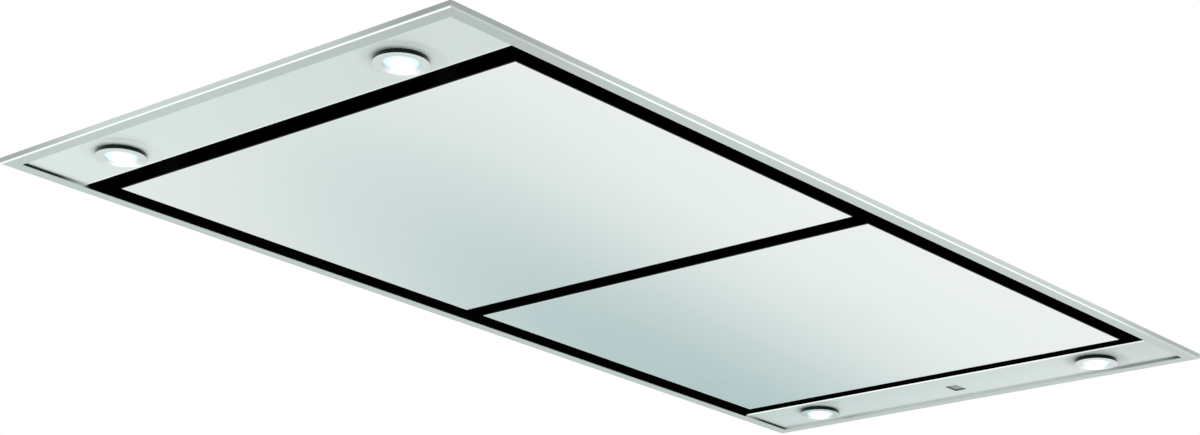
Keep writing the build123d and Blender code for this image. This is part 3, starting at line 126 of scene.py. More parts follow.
# ---------------------------------------------------------------- node materials
class Finish:
    """A node material with short helpers for procedural detail in object space."""

    def __init__(self, name):
        self.material = bpy.data.materials.new(name)
        self.material.use_nodes = True
        self.tree = self.material.node_tree
        self.shader = self.tree.nodes["Principled BSDF"]
        self.output = self.tree.nodes["Material Output"]
        self.place = self.add("ShaderNodeTexCoord").outputs["Object"]

    def add(self, kind, **settings):
        node = self.tree.nodes.new(kind)
        for key, value in settings.items():
            setattr(node, key, value)
        return node

    def join(self, source, target):
        """Sets a socket from a constant or links it from another socket."""
        if isinstance(source, bpy.types.NodeSocket):
            self.tree.links.new(source, target)
        else:
            target.default_value = source

    # The shader's own sockets
    def fix(self, **values):
        """Constants, with _ for a space in a socket's name."""
        for key, value in values.items():
            self.shader.inputs[key.replace("_", " ")].default_value = value

    def feed(self, name, source):
        self.join(source, self.shader.inputs[name])

    def fed(self, name):
        """What is linked to a socket so far."""
        return self.shader.inputs[name].links[0].from_socket

    def color(self, source):
        self.feed("Base Color", source)

    def roughness(self, source):
        self.feed("Roughness", source)

    def bump(self, height, strength, distance):
        node = self.add("ShaderNodeBump")
        node.inputs["Strength"].default_value = strength
        node.inputs["Distance"].default_value = distance
        self.join(height, node.inputs["Height"])
        self.feed("Normal", node.outputs["Normal"])

    # Numbers
    def math(self, operation, a, b=0.0):
        node = self.add("ShaderNodeMath", operation=operation)
        self.join(a, node.inputs[0])
        self.join(b, node.inputs[1])
        return node.outputs[0]

    def plus(self, a, b):
        return self.math("ADD", a, b)

    def minus(self, a, b):
        return self.math("SUBTRACT", a, b)

    def times(self, a, b):
        return self.math("MULTIPLY", a, b)

    def size(self, value):
        """A number without its sign."""
        return self.math("ABSOLUTE", value)

    def above(self, a, b):
        """1 where a is more than b, 0 elsewhere."""
        return self.math("GREATER_THAN", a, b)

    def below(self, a, b):
        """1 where a is less than b, 0 elsewhere."""
        return self.math("LESS_THAN", a, b)

    def side(self, value):
        """1 above 0, and -1 below."""
        return self.minus(self.times(self.above(value, 0.0), 2.0), 1.0)

    def spread(self, value, low, high, start=0.0, end=1.0, smooth=False):
        """Maps start..end of a value to low..high."""
        node = self.add("ShaderNodeMapRange")
        node.interpolation_type = "SMOOTHSTEP" if smooth else "LINEAR"
        self.join(value, node.inputs["Value"])
        for key, number in zip(("From Min", "From Max", "To Min", "To Max"), (start, end, low, high)):
            node.inputs[key].default_value = number
        return node.outputs["Result"]

    def blend(self, share, a, b):
        """Mixes two numbers."""
        node = self.add("ShaderNodeMix", data_type="FLOAT")
        self.join(share, node.inputs[0])
        self.join(a, node.inputs[2])
        self.join(b, node.inputs[3])
        return node.outputs[0]

    # Colours
    def ramp(self, value, *stops):
        node = self.add("ShaderNodeValToRGB")
        elements = node.color_ramp.elements
        while len(elements) < len(stops):
            elements.new(0.5)
        for element, (place, color) in zip(elements, stops):
            element.position = place
            element.color = (*color, 1.0)
        self.join(value, node.inputs["Fac"])
        return node.outputs["Color"]

    def mix(self, share, a, b, kind="MIX"):
        node = self.add("ShaderNodeMix", data_type="RGBA", blend_type=kind)
        self.join(share, node.inputs[0])
        self.join(a if isinstance(a, bpy.types.NodeSocket) else (*a, 1.0), node.inputs[6])
        self.join(b if isinstance(b, bpy.types.NodeSocket) else (*b, 1.0), node.inputs[7])
        return node.outputs[2]

    def grey(self, level):
        """A colour with the same level in all three channels."""
        node = self.add("ShaderNodeCombineColor")
        for socket in node.inputs[:3]:
            self.join(level, socket)
        return node.outputs[0]

    def dimmed(self, color, level):
        """A colour times a level."""
        return self.mix(1.0, color, self.grey(level), "MULTIPLY")

    # Patterns
    def stretched(self, scale, turn=0.0):
        """The object-space place, scaled by axis."""
        node = self.add("ShaderNodeMapping")
        node.inputs["Scale"].default_value = scale
        node.inputs["Rotation"].default_value = (0, 0, turn)
        self.join(self.place, node.inputs["Vector"])
        return node.outputs["Vector"]

    def noise(self, scale, detail=3.0, roughness=0.55, turn=0.0):
        node = self.add("ShaderNodeTexNoise")
        self.join(self.stretched(scale, turn), node.inputs["Vector"])
        node.inputs["Scale"].default_value = 1.0
        node.inputs["Detail"].default_value = detail
        node.inputs["Roughness"].default_value = roughness
        return node.outputs["Fac"]

    def cells(self, scale, feature="F1", output="Color"):
        node = self.add("ShaderNodeTexVoronoi", feature=feature)
        self.join(self.stretched(scale), node.inputs["Vector"])
        node.inputs["Scale"].default_value = 1.0
        return node.outputs[output]

    def cell_edges(self, scale):
        """Distance to the border between cells."""
        return self.cells(scale, "DISTANCE_TO_EDGE", "Distance")

    # Where a point lies and how its surface faces
    def axes(self):
        node = self.add("ShaderNodeSeparateXYZ")
        self.join(self.place, node.inputs[0])
        return node.outputs

    def facing(self):
        """The surface's own normal in object space, split by axis, so that it turns with the piece."""
        own = self.add("ShaderNodeVectorTransform", vector_type="NORMAL",
                       convert_from="WORLD", convert_to="OBJECT")
        self.join(self.add("ShaderNodeNewGeometry").outputs["True Normal"], own.inputs[0])
        node = self.add("ShaderNodeSeparateXYZ")
        self.join(own.outputs[0], node.inputs[0])
        return node.outputs

    def level(self):
        """1 on faces that lie flat, 0 on ones that stand up."""
        return self.size(self.facing()[2])

    def upright(self):
        """1 on faces that stand up, 0 on the others."""
        return self.below(self.level(), 0.35)

    def fold(self):
        """1 on the rounded folds between flat faces, 0 on the flat faces."""
        nx, ny, nz = [self.size(part) for part in self.facing()]
        largest = self.math("MAXIMUM", self.math("MAXIMUM", nx, ny), nz)
        return self.spread(largest, 1.0, 0.0, 0.985, 0.998)

    def lamp_distance(self, shift_x=0.0, shift_y=0.0):
        """Distance to the axis of the nearest spotlight, or to a place beside it."""
        x, y, z = self.axes()
        half = self.blend(self.below(x, 0.0), LAMP_Y_RIGHT, LAMP_Y_LEFT)
        off_x = self.minus(self.minus(x, self.times(self.side(x), LAMP_X)), shift_x)
        off_y = self.minus(self.minus(y, self.times(self.side(y), half)), shift_y)
        return self.math("SQRT", self.plus(self.times(off_x, off_x), self.times(off_y, off_y)))

    def lamp_glow(self, strength):
        """Painted glow: emission on the metal close around the spotlights, standing in for their light."""
        near = self.spread(self.lamp_distance(*GLOW_SHIFT), 1.0, 0.0, 0.002, 0.022, smooth=True)
        self.fix(Emission_Color=(0.97, 1.0, 1.0, 1.0))
        return self.times(near, strength)


def tinted(color, factor):
    return tuple(min(1.0, c * factor) for c in color)


def brushed(name, color, rough, across="y", lines=900.0, depth=0.05, drift=0.06, smudge=0.03):
    """Brushed stainless steel with its grain along X, or along Y where across is x."""
    finish = Finish(name)
    if across == "y":
        coarse = finish.noise((4.0, lines, lines), 4.0, 0.7)
        fine = finish.noise((22.0, lines * 4, lines * 4), 2.0, 0.6)
    else:
        coarse = finish.noise((lines, 4.0, lines), 4.0, 0.7)
        fine = finish.noise((lines * 4, 22.0, lines * 4), 2.0, 0.6)
    grain = finish.plus(finish.times(coarse, 0.6), finish.times(fine, 0.4))
    cloud = finish.noise((3.0, 3.0, 3.0), 3.0, 0.5)
    base = finish.ramp(grain, (0.25, tinted(color, 1.0 - drift)), (0.75, tinted(color, 1.0 + drift)))
    base = finish.mix(finish.spread(cloud, 0.0, 0.5, 0.4, 0.7), base, tinted(color, 1.0 - drift))
    # Painted highlight: the rounded folds are coloured brighter than the flat faces
    finish.color(finish.mix(finish.fold(), base, tinted(color, 1.12)))
    low = finish.spread(grain, rough - 0.05, rough + 0.06, 0.25, 0.75)
    finish.roughness(finish.plus(low, finish.spread(cloud, 0.0, smudge, 0.45, 0.65)))
    finish.bump(grain, depth, 0.0002)
    finish.fix(Metallic=1.0, Anisotropic=0.35)
    tangent = finish.add("ShaderNodeCombineXYZ")
    tangent.inputs[0 if across == "y" else 1].default_value = 1.0
    finish.feed("Tangent", tangent.outputs[0])
    return finish


# ---------------------------------------------------------------- finishes of the visible face
def panel_steel():
    """Suction panels; their folded edges and upright sides are painted dark, a painted reflection of the
    black slot beside them.
    """
    finish = brushed("panel_steel", (0.86, 0.89, 0.87), 0.14, "y", depth=0.008, drift=0.012, smudge=0.01)
    # Painted reflection and shade: the folds' steep parts and the upright sides are coloured near black
    edge = finish.spread(finish.level(), 1.0, 0.0, 0.80, 0.95)
    finish.color(finish.mix(edge, finish.fed("Base Color"), (0.05, 0.055, 0.055)))
    return finish.material


def plate_steel():
    """Lamp plates with painted shade, darker towards the front, and painted shade on the upright edges of
    the receiver's hole; a painted glow round the lamps and a painted highlight along the inner edges.
    """
    finish = brushed("plate_steel", (0.79, 0.845, 0.825), 0.28, "x", depth=0.006, drift=0.010)
    x, y, z = finish.axes()

    # Painted shade: darker towards the front, and on the right plate towards its inner edge
    left = finish.spread(y, 0.93, 1.08, -0.28, 0.27)
    right = finish.spread(y, 0.83, 0.98, -0.28, -0.12, smooth=True)
    right = finish.times(right, finish.spread(x, 0.96, 1.06, 0.520, 0.580))
    light = finish.blend(finish.above(x, 0.0), left, right)
    color = finish.dimmed(finish.fed("Base Color"), light)

    # Painted shade: the upright edges of the receiver's hole are coloured near black
    near_x = finish.below(finish.size(finish.minus(x, RECEIVER_X)), RECEIVER_HALF_LENGTH)
    near_y = finish.below(finish.size(y), RECEIVER_HALF_WIDTH)
    hole = finish.times(finish.times(near_x, near_y), finish.upright())
    finish.color(finish.mix(hole, color, (0.03, 0.035, 0.035)))

    dull = finish.spread(finish.lamp_distance(), 1.0, 0.0, 0.031, 0.040)
    finish.roughness(finish.blend(dull, finish.fed("Roughness"), 0.75))

    # Painted highlight as emission along the plates' inner edges, added to the painted lamp glow
    edge_highlight = finish.spread(finish.size(x), 1.0, 0.0, 0.5112, 0.5130)
    finish.feed("Emission Strength", finish.plus(finish.lamp_glow(0.30), finish.times(edge_highlight, 0.22)))
    return finish.material


def rim_steel():
    """Satin rim: the grain runs along each side and meets at a mitre in the corners."""
    finish = Finish("rim_steel")
    color = (0.64, 0.705, 0.69)
    x, y, z = finish.axes()
    far_x = finish.size(x)
    far_y = finish.size(y)
    at_end = finish.above(finish.minus(far_x, HALF_LENGTH), finish.minus(far_y, HALF_WIDTH))

    # Grain, with painted shade a little darker near the front left corner
    along_x = finish.noise((5.0, 1100.0, 1100.0), 4.0, 0.7)
    along_y = finish.noise((1100.0, 5.0, 1100.0), 4.0, 0.7)
    grain = finish.blend(at_end, along_x, along_y)
    base = finish.ramp(grain, (0.25, tinted(color, 0.97)), (0.75, tinted(color, 1.03)))
    from_corner = finish.plus(finish.plus(x, HALF_LENGTH), finish.plus(y, HALF_WIDTH))
    base = finish.dimmed(base, finish.spread(from_corner, 0.85, 1.0, 0.02, 0.35))

    # Painted shade: outer walls darker towards the corners
    within_x = finish.below(far_x, HALF_LENGTH - RIM_BAND)
    within_y = finish.below(far_y, HALF_WIDTH - RIM_BAND)
    inside = finish.times(within_x, within_y)
    wall = finish.times(finish.upright(), finish.minus(1.0, inside))
    wall_shade_x = finish.spread(far_x, 1.0, 0.72, 0.38, 0.52)
    wall_shade_y = finish.spread(far_y, 1.0, 0.66, 0.16, 0.26)
    base = finish.mix(wall, base, finish.dimmed(base, finish.blend(at_end, wall_shade_x, wall_shade_y)))

    # Painted highlight on the folds along the front and the left end, on the faces turned to the front
    nx, ny, nz = finish.facing()
    lower = finish.spread(finish.size(nz), 0.0, 1.0, 0.45, 0.65)
    front = finish.spread(finish.plus(nx, ny), 1.0, 0.0, -0.10, 0.0)
    lit = finish.times(finish.times(finish.fold(), lower), front)
    lit = finish.times(lit, finish.blend(at_end, finish.spread(far_x, 1.0, 0.1, 0.40, 0.50), 1.0))
    base = finish.mix(lit, base, (0.97, 1.0, 0.99))

    # Painted shade on the inner step where it meets the plates and the black tray, darkest near the
    # corners
    step = finish.times(inside, finish.upright())
    step_shade = finish.times(step, finish.spread(z, 0.0, 1.0, -0.3004, -0.2998))
    corner_x = finish.spread(far_x, 0.62, 0.01, 0.508, 0.545, smooth=True)
    corner_y = finish.plus(finish.spread(y, 0.03, 0.42, -0.285, -0.262, smooth=True),
                           finish.spread(y, 0.0, 0.32, -0.26, -0.13))
    shade = finish.blend(at_end, corner_x, corner_y)
    finish.color(finish.mix(step_shade, base, finish.grey(shade)))

    finish.roughness(finish.spread(grain, 0.38, 0.50, 0.25, 0.75))
    finish.bump(grain, 0.02, 0.0002)
    finish.fix(Metallic=1.0)
    # Painted lamp glow and painted fold highlight, as emission
    finish.feed("Emission Strength", finish.plus(finish.lamp_glow(0.3), finish.times(lit, 0.12)))
    return finish.material


def black_coat():
    """Matt black powder coat with a fine orange-peel surface; painted shade makes it deepest black, with
    less sheen, in the air slots.
    """
    finish = Finish("black_coat")
    peel = finish.noise((900.0, 900.0, 900.0), 3.0, 0.5)
    cloud = finish.noise((14.0, 14.0, 14.0), 2.0, 0.5)
    x, y, z = finish.axes()
    far_x = finish.size(x)
    open_x = finish.times(finish.spread(far_x, 0.0, 1.0, 0.025, 0.045),
                          finish.spread(far_x, 1.0, 0.0, 0.45, 0.475))
    open_y = finish.spread(finish.size(y), 1.0, 0.0, 0.225, 0.250)
    inner = finish.times(open_x, open_y)
    # Painted shade: near black with little sheen outside the open middle, in the air slots
    slot_shade = finish.ramp(cloud, (0.35, (0.0007, 0.0008, 0.0009)), (0.7, (0.0014, 0.0015, 0.0016)))
    coat = finish.ramp(cloud, (0.35, (0.012, 0.0122, 0.0126)), (0.7, (0.020, 0.0202, 0.0206)))
    finish.color(finish.mix(inner, slot_shade, coat))
    finish.roughness(finish.spread(peel, 0.5, 0.65, 0.3, 0.7))
    finish.bump(peel, 0.12, 0.0003)
    finish.feed("Specular IOR Level", finish.spread(inner, 0.015, 0.4))
    finish.fix(Emission_Color=(0.9, 1.0, 1.0, 1.0))
    # Painted glow of the lamps on the black beside them, as emission
    away = finish.lamp_distance(*SLOT_GLOW_SHIFT)
    finish.feed("Emission Strength", finish.spread(away, 0.035, 0.0, 0.0, 0.024, smooth=True))
    return finish.material


def chrome():
    """Chromed ring with a dark seat band up against the plate, and a painted glow of the lamp on its face.
    """
    finish = Finish("chrome")
    marks = finish.noise((240.0, 240.0, 240.0), 4.0, 0.6)
    band = finish.times(finish.below(finish.level(), 0.5),
                        finish.above(finish.lamp_distance(), LAMP_SEAT_RADIUS))
    face = finish.ramp(marks, (0.3, (0.70, 0.73, 0.72)), (0.7, (0.78, 0.80, 0.80)))
    finish.color(finish.mix(band, face, (0.015, 0.022, 0.022)))
    finish.roughness(finish.spread(marks, 0.16, 0.26, 0.3, 0.7))
    finish.bump(marks, 0.02, 0.0001)
    finish.fix(Metallic=1.0)
    # Painted glow of the lamp on the ring, as emission
    finish.feed("Emission Strength", finish.lamp_glow(0.55))
    return finish.material


def lens():
    """Lit diffusing lens: white in the middle, cooler at its edge, with fine rings."""
    finish = Finish("lens")
    away = finish.lamp_distance()
    rings = finish.math("SINE", finish.times(away, LENS_RINGS))
    tone = finish.ramp(finish.spread(away, 0.0, 1.0, 0.0, LENS_RADIUS),
                       (0.0, (1.0, 1.0, 1.0)), (0.55, (0.92, 1.0, 1.0)), (0.86, (0.62, 0.87, 0.92)),
                       (1.0, (0.30, 0.50, 0.56)))
    bright = finish.spread(finish.lamp_distance(*GLOW_SHIFT), 1.0, 0.0, 0.008, 0.022)
    finish.feed("Emission Color", finish.mix(bright, tone, (1.0, 1.0, 1.0)))
    finish.feed("Emission Strength", finish.plus(finish.times(rings, 0.03), 0.92))
    finish.bump(rings, 0.1, 0.0001)
    finish.fix(Base_Color=(0.10, 0.13, 0.14, 1.0), Roughness=0.25)
    return finish.material


def smoked():
    """Smoked plastic window in front of the receiver."""
    finish = Finish("smoked_window")
    film = finish.noise((120.0, 120.0, 120.0), 2.0, 0.5)
    finish.color(finish.ramp(film, (0.3, (0.22, 0.24, 0.24)), (0.7, (0.27, 0.29, 0.29))))
    finish.roughness(finish.spread(film, 0.08, 0.16, 0.3, 0.7))
    finish.bump(film, 0.02, 0.0001)
    return finish.material


# ---------------------------------------------------------------- finishes of the other pieces
def galvanised():
    """Zinc-coated sheet: spangle grains of different tone and gloss, and faint rolling streaks."""
    finish = Finish("galvanised")
    color = (0.49, 0.51, 0.52)
    grain = (95.0, 95.0, 95.0)
    tone = finish.add("ShaderNodeSeparateColor")
    finish.join(finish.cells(grain), tone.inputs[0])
    streak = finish.noise((3.0, 160.0, 160.0), 3.0, 0.6)
    wear = finish.noise((9.0, 9.0, 9.0), 4.0, 0.6)
    flake = finish.plus(finish.times(tone.outputs[0], 0.7), finish.times(streak, 0.3))
    base = finish.ramp(flake, (0.1, tinted(color, 0.82)), (0.9, tinted(color, 1.12)))
    finish.color(finish.mix(finish.spread(wear, 0.0, 0.3, 0.45, 0.7), base, tinted(color, 0.8)))
    finish.roughness(finish.spread(tone.outputs[1], 0.38, 0.54))
    finish.bump(finish.spread(finish.cell_edges(grain), 0.0, 1.0, 0.0, 0.06), 0.08, 0.0002)
    finish.fix(Metallic=1.0)
    return finish.material


def bright_metal(name, color, rough):
    """Small bright fasteners and springs: fine scratches in two directions."""
    finish = Finish(name)
    one = finish.noise((60.0, 1500.0, 400.0), 3.0, 0.6, turn=0.6)
    two = finish.noise((1300.0, 70.0, 500.0), 3.0, 0.6, turn=-0.4)
    marks = finish.times(one, two)
    finish.color(finish.ramp(marks, (0.1, tinted(color, 0.88)), (0.45, tinted(color, 1.06))))
    finish.roughness(finish.spread(marks, rough, rough + 0.18, 0.1, 0.45))
    finish.bump(marks, 0.06, 0.0002)
    finish.fix(Metallic=1.0)
    return finish.material


def cast_aluminium():
    """Die-cast skin, finely pitted."""
    finish = Finish("cast_aluminium")
    skin = finish.noise((700.0, 700.0, 700.0), 4.0, 0.6)
    cloud = finish.noise((40.0, 40.0, 40.0), 3.0, 0.5)
    finish.color(finish.ramp(cloud, (0.3, (0.50, 0.51, 0.52)), (0.7, (0.62, 0.63, 0.64))))
    finish.roughness(finish.spread(skin, 0.42, 0.62, 0.3, 0.7))
    finish.bump(skin, 0.15, 0.0003)
    finish.fix(Metallic=1.0)
    return finish.material


def plastic(name, color, rough=0.45, texture=1500.0, depth=0.1, gloss=0.5):
    """Moulded plastic with a fine eroded grain and slight tone drift."""
    finish = Finish(name)
    grain = finish.noise((texture, texture, texture), 2.0, 0.5)
    cloud = finish.noise((18.0, 18.0, 18.0), 3.0, 0.5)
    finish.color(finish.ramp(cloud, (0.3, tinted(color, 0.90)), (0.7, tinted(color, 1.08))))
    finish.roughness(finish.spread(grain, rough - 0.06, rough + 0.1, 0.3, 0.7))
    finish.bump(grain, depth, 0.0002)
    finish.fix(Specular_IOR_Level=gloss)
    return finish.material


def circuit_board():
    """Green board with paler tracks under the lacquer."""
    finish = Finish("circuit_board")
    line = finish.spread(finish.cell_edges((160.0, 160.0, 160.0)), 1.0, 0.0, 0.02, 0.06)
    speck = finish.noise((500.0, 500.0, 500.0), 2.0, 0.5)
    green = finish.ramp(speck, (0.35, (0.015, 0.10, 0.04)), (0.65, (0.03, 0.16, 0.07)))
    finish.color(finish.mix(line, green, (0.10, 0.30, 0.12)))
    finish.roughness(finish.spread(speck, 0.25, 0.4, 0.3, 0.7))
    finish.bump(line, 0.1, 0.0002)
    return finish.material


def filter_mesh_metal():
    """Packed layers of expanded aluminium: pale strands round openings painted dark as shade."""
    finish = Finish("filter_mesh_metal")
    top = finish.spread(finish.cell_edges((150.0, 260.0, 260.0)), 1.0, 0.0, 0.05, 0.13)
    low = finish.spread(finish.cell_edges((230.0, 140.0, 200.0)), 1.0, 0.0, 0.05, 0.13)
    # Painted shade: the openings are coloured near black, the lower layer's strands dull grey
    ground = finish.mix(low, (0.02, 0.02, 0.021), (0.12, 0.122, 0.125))
    finish.color(finish.mix(top, ground, (0.27, 0.275, 0.28)))
    finish.roughness(finish.spread(top, 0.6, 0.32))
    finish.bump(finish.math("MAXIMUM", top, finish.times(low, 0.5)), 0.6, 0.001)
    finish.fix(Metallic=0.9)
    return finish.material


# ---------------------------------------------------------------- stage and light
def make_plane(name, points, faces, material):
    mesh = bpy.data.meshes.new(name)
    mesh.from_pydata(points, [], faces)
    mesh.materials.append(material)
    plane = bpy.data.objects.new(name, mesh)
    bpy.context.scene.collection.objects.link(plane)


def two_looks(finish, seen, plain, shown):
    """Shows an emission where seen is 1 and plain paper elsewhere, from the front side alone."""
    paper = finish.add("ShaderNodeBsdfDiffuse")
    paper.inputs["Color"].default_value = (*plain, 1.0)
    look = finish.add("ShaderNodeMixShader")
    finish.join(seen, look.inputs[0])
    finish.join(paper.outputs[0], look.inputs[1])
    finish.join(shown.outputs[0], look.inputs[2])
    clear = finish.add("ShaderNodeBsdfTransparent")
    pick = finish.add("ShaderNodeMixShader")
    finish.join(finish.add("ShaderNodeNewGeometry").outputs["Backfacing"], pick.inputs[0])
    finish.join(look.outputs[0], pick.inputs[1])
    finish.join(clear.outputs[0], pick.inputs[2])
    finish.join(pick.outputs[0], finish.output.inputs["Surface"])


def ceiling_white():
    """Ceiling board: plain white to the eye and in reflections, and pale for light."""
    finish = Finish("ceiling_white")
    path = finish.add("ShaderNodeLightPath").outputs
    seen = finish.math("MAXIMUM", path["Is Camera Ray"], path["Is Glossy Ray"])
    seen = finish.math("MAXIMUM", seen, path["Is Transmission Ray"])
    two_looks(finish, seen, (0.85, 0.86, 0.86), finish.add("ShaderNodeEmission"))
    return finish.material


def floor_pale():
    """Pale floor; metal sees it as a soft white with one cooler, darker band."""
    finish = Finish("floor_pale")
    x, y, z = finish.axes()
    lean = math.radians(FLOOR_BAND_TURN)
    from_x = finish.minus(x, FLOOR_BAND_PLACE[0])
    from_y = finish.minus(y, FLOOR_BAND_PLACE[1])
    along = finish.plus(finish.times(from_x, math.cos(lean)), finish.times(from_y, math.sin(lean)))
    across = finish.minus(finish.times(from_y, math.cos(lean)), finish.times(from_x, math.sin(lean)))
    bent = finish.plus(across, finish.times(finish.math("MAXIMUM", from_x, 0.0), FLOOR_BAND_BEND))
    near_side = finish.spread(bent, 0.0, 1.0, -0.95, 0.15, smooth=True)
    far_side = finish.spread(across, 1.0, 0.3, -0.1, 0.85, smooth=True)
    depth = finish.spread(along, 0.2, 1.15, -2.3, 0.35)
    band = finish.times(finish.times(near_side, far_side), depth)
    white = finish.add("ShaderNodeEmission")
    finish.join(finish.mix(band, (0.98, 1.0, 0.985), (0.37, 0.53, 0.55)), white.inputs["Color"])
    path = finish.add("ShaderNodeLightPath").outputs
    seen = finish.math("MAXIMUM", path["Is Glossy Ray"], path["Is Transmission Ray"])
    two_looks(finish, seen, (0.86, 0.87, 0.87), white)
    return finish.material


def corners(half_x, half_y, z):
    """Corners of a level rectangle round the middle."""
    return [(x * half_x, y * half_y, z) for x, y in ((-1, -1), (1, -1), (1, 1), (-1, 1))]


def make_stage():
    """Floor under the hood, and a ceiling board round it whose hole the rim covers."""
    make_plane("floor", corners(FLOOR_REACH, FLOOR_REACH, FLOOR_Z), [(0, 1, 2, 3)], floor_pale())
    points = corners(*CEILING_HOLE, CEILING_Z) + corners(*CEILING_REACH, CEILING_Z)
    faces = [((k + 1) % 4, 4 + (k + 1) % 4, 4 + k, k) for k in range(4)]
    make_plane("ceiling", points, faces, ceiling_white())


def soft_box(name, place, aim, size, power):
    data = bpy.data.lights.new(name, "AREA")
    data.shape = "DISK"
    data.size = size
    data.energy = power
    lamp = bpy.data.objects.new(name, data)
    lamp.location = place
    lamp.rotation_euler = (Vector(aim) - Vector(place)).to_track_quat("-Z", "Y").to_euler()
    bpy.context.scene.collection.objects.link(lamp)


def make_light():
    """A pale room that the camera sees as white, and three large soft lamps."""
    world = bpy.data.worlds.new("studio")
    bpy.context.scene.world = world
    world.use_nodes = True
    tree = world.node_tree
    room = tree.nodes["Background"]
    room.inputs["Color"].default_value = (0.93, 0.96, 0.96, 1.0)
    room.inputs["Strength"].default_value = 0.75
    white = tree.nodes.new("ShaderNodeBackground")
    white.inputs["Color"].default_value = (1.0, 1.0, 1.0, 1.0)
    white.inputs["Strength"].default_value = 1.0
    path = tree.nodes.new("ShaderNodeLightPath")
    pick = tree.nodes.new("ShaderNodeMixShader")
    tree.links.new(path.outputs["Is Camera Ray"], pick.inputs[0])
    tree.links.new(room.outputs[0], pick.inputs[1])
    tree.links.new(white.outputs[0], pick.inputs[2])
    tree.links.new(pick.outputs[0], tree.nodes["World Output"].inputs["Surface"])

    soft_box("key", (-2.6, -3.4, 3.0), (0, 0, -0.2), 3.0, 120.0)
    soft_box("fill", (3.5, 2.6, 2.2), (0, 0, -0.2), 3.0, 60.0)
    soft_box("below", (-1.5, -1.0, -2.1), (0, 0, -0.3), 2.4, 18.0)


# ---------------------------------------------------------------- expanded mesh of the filters
def add_strand(mesh, path, z, across):
    """Adds a closed three-sided strand along (x, y) points; across is the direction of its width."""
    points, faces = mesh
    first = len(points)
    for x, y in path:
        for side, up in ((-1, 0.0), (1, 0.0), (0, STRAND_DEPTH)):
            points.append((x + side * STRAND_HALF * across[0], y + side * STRAND_HALF * across[1], z + up))
    last = first + 3 * (len(path) - 1)
    for start in range(first, last, 3):
        for j in range(3):
            k = (j + 1) % 3
            faces.append((start + j, start + k, start + 3 + k, start + 3 + j))
    faces.append((first, first + 1, first + 2))
    faces.append((last + 2, last + 1, last))


def add_rows(mesh, low, high):
    """Zigzag rows that meet in diamonds, broken where the latch pocket is."""
    middle = (low.x + high.x) / 2
    steps = int((high.x - low.x) / MESH_STEP)
    rows = int((high.y - low.y - 2 * MESH_SWAY - 2 * STRAND_HALF) / MESH_ROW)
    start_x = middle - steps * MESH_STEP / 2
    start_y = (low.y + high.y) / 2 - rows * MESH_ROW / 2
    for row in range(rows + 1):
        y = start_y + row * MESH_ROW
        path = []
        for step in range(steps + 1):
            sway = MESH_SWAY if (row + step) % 2 else -MESH_SWAY
            path.append((start_x + step * MESH_STEP, y + sway))
        parts = [path]
        if y - MESH_SWAY - STRAND_HALF < low.y + POCKET_DEPTH:
            parts = [[p for p in path if p[0] < middle - POCKET_HALF],
                     [p for p in path if p[0] > middle + POCKET_HALF]]
        for part in parts:
            add_strand(mesh, part, low.z + ROWS_UP, (0, 1))


def add_columns(mesh, low, high):
    """Straight strands of the next layer, seen through the diamonds."""
    middle = (low.x + high.x) / 2
    count = int((high.x - low.x) / MESH_COLUMN)
    for column in range(count):
        x = middle + (column - (count - 1) / 2) * MESH_COLUMN
        at_pocket = abs(x - middle) < POCKET_HALF + STRAND_HALF
        near = low.y + (POCKET_DEPTH if at_pocket else MESH_END_GAP)
        add_strand(mesh, [(x, near), (x, high.y - MESH_END_GAP)], low.z + COLUMNS_UP, (1, 0))


def add_core(mesh, low, high):
    """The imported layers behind, as a block with the latch pocket cut out."""
    points, faces = mesh
    middle = (low.x + high.x) / 2
    left, right, back = middle - POCKET_HALF, middle + POCKET_HALF, low.y + POCKET_DEPTH
    outline = [(low.x, low.y), (left, low.y), (left, back), (right, back), (right, low.y),
               (high.x, low.y), (high.x, high.y), (low.x, high.y)]
    first = len(points)
    count = len(outline)
    for z in (low.z + CORE_UP, high.z):
        points.extend((x, y, z) for x, y in outline)
    faces.append(tuple(range(first + count - 1, first - 1, -1)))
    faces.append(tuple(range(first + count, first + 2 * count)))
    for j in range(count):
        k = (j + 1) % count
        faces.append((first + j, first + k, first + count + k, first + count + j))


def make_filter_pack(number, strand_metal, depth_metal):
    """Expanded-mesh layers in place of a filter's solid block."""
    node = "filter_mesh_%d" % number
    low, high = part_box(node)
    mesh = ([], [])
    add_rows(mesh, low, high)
    add_columns(mesh, low, high)
    strands = len(mesh[1])
    add_core(mesh, low, high)
    data = bpy.data.meshes.new("filter_pack_%d" % number)
    data.from_pydata(mesh[0], [], mesh[1])
    data.materials.append(strand_metal)
    data.materials.append(depth_metal)
    for polygon in data.polygons[strands:]:
        polygon.material_index = 1
    work = bmesh.new()
    work.from_mesh(data)
    bmesh.ops.recalc_face_normals(work, faces=work.faces)
    work.to_mesh(data)
    work.free()
    pack = bpy.data.objects.new("filter_pack_%d" % number, data)
    bpy.context.scene.collection.objects.link(pack)
    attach(pack, "housing")
    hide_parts(node)


def make_filter_packs():
    strand_metal = bright_metal("mesh_strand", (0.74, 0.75, 0.76), 0.28)
    depth_metal = filter_mesh_metal()
    for number in range(1, 5):
        make_filter_pack(number, strand_metal, depth_metal)


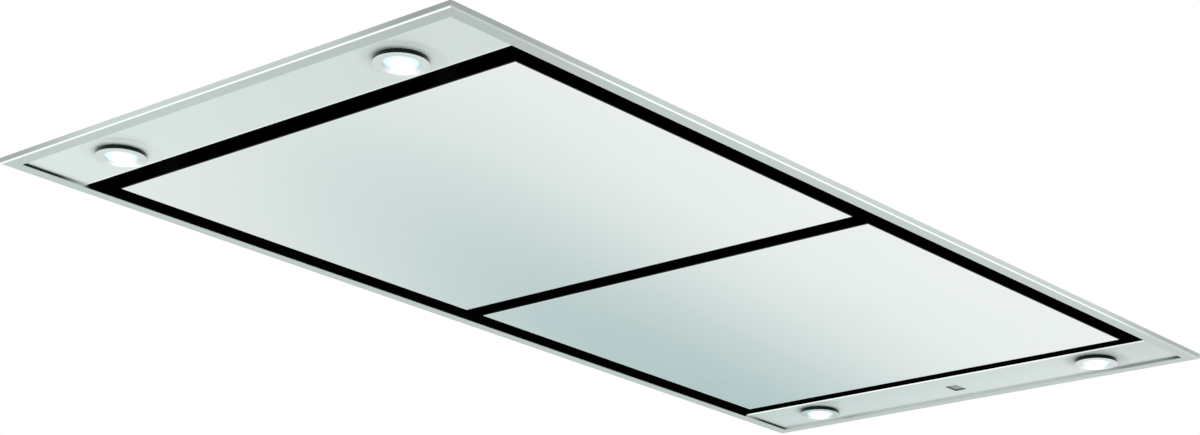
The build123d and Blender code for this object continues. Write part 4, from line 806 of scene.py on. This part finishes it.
# ---------------------------------------------------------------- finishes by node
def node_finishes():
    """A finish for each node's name, or for the start of it where the key ends with _."""
    steel_panel = panel_steel()
    steel_plate = plate_steel()
    black = black_coat()
    zinc_sheet = galvanised()
    zinc_bright = bright_metal("zinc_bright", (0.72, 0.73, 0.71), 0.28)
    ground = bright_metal("ground_steel", (0.66, 0.66, 0.66), 0.2)
    cast = cast_aluminium()
    black_plastic = plastic("black_plastic", (0.02, 0.02, 0.021), 0.48)
    grey_plastic = plastic("grey_plastic", (0.66, 0.66, 0.64), 0.45)
    board = circuit_board()
    return {
        "trim_frame": rim_steel(),
        "lamp_plate_": steel_plate,
        "panel_skin_": steel_panel,
        "panel_back_": steel_panel,
        "hinge_arms_": zinc_bright,
        "hinge_brackets": black,
        "hinge_pins": ground,
        "catch_brackets": black,
        "catch_magnets": plastic("ferrite", (0.03, 0.03, 0.033), 0.6, 900.0, 0.2, 0.3),
        "tray_": black,
        "centre_rail": black,
        "body_roof": zinc_sheet,
        "side_wall_": zinc_sheet,
        "end_wall_": zinc_sheet,
        "suspension_brackets": zinc_sheet,
        "bracket_bolts": zinc_bright,
        "frame_screws": zinc_bright,
        "filter_frame_": brushed("filter_channel", (0.70, 0.71, 0.72), 0.36, "x", 500.0).material,
        "filter_mesh_": filter_mesh_metal(),
        "filter_latch_": black_plastic,
        "blower_": zinc_sheet,
        "impeller_nut": zinc_bright,
        "impeller": zinc_sheet,
        "motor_body": plastic("motor_paint", (0.10, 0.105, 0.11), 0.5, 1100.0, 0.15),
        "motor_shaft": ground,
        "motor_mount": zinc_sheet,
        "outlet_collar": zinc_sheet,
        "flap_pin": ground,
        "flap_": cast,
        "control_board": board,
        "control_box": grey_plastic,
        "control_box_lid": grey_plastic,
        "terminal_block": grey_plastic,
        "cable_gland": black_plastic,
        "led_driver": plastic("white_plastic", (0.78, 0.78, 0.76), 0.42),
        "internal_leads": plastic("lead_sheath", (0.45, 0.45, 0.43), 0.55, 700.0),
        "lamp_bezels": chrome(),
        "lamp_lenses": lens(),
        "lamp_bodies": cast,
        "lamp_clips": bright_metal("spring_steel", (0.56, 0.56, 0.55), 0.3),
        "receiver_window": smoked(),
        "receiver_board": board,
    }


def dress():
    """Gives every node of the frame its finish; the longest key that fits a name counts."""
    finishes = node_finishes()
    for name, node in NODES.items():
        known = [key for key in finishes if name == key or (key.endswith("_") and name.startswith(key))]
        node.data.materials.clear()
        node.data.materials.append(finishes[max(known, key=len)])
        for polygon in node.data.polygons:
            polygon.material_index = 0


make_camera()
make_stage()
make_light()
dress()
make_filter_packs()

bpy.context.scene.view_settings.view_transform = "Standard"
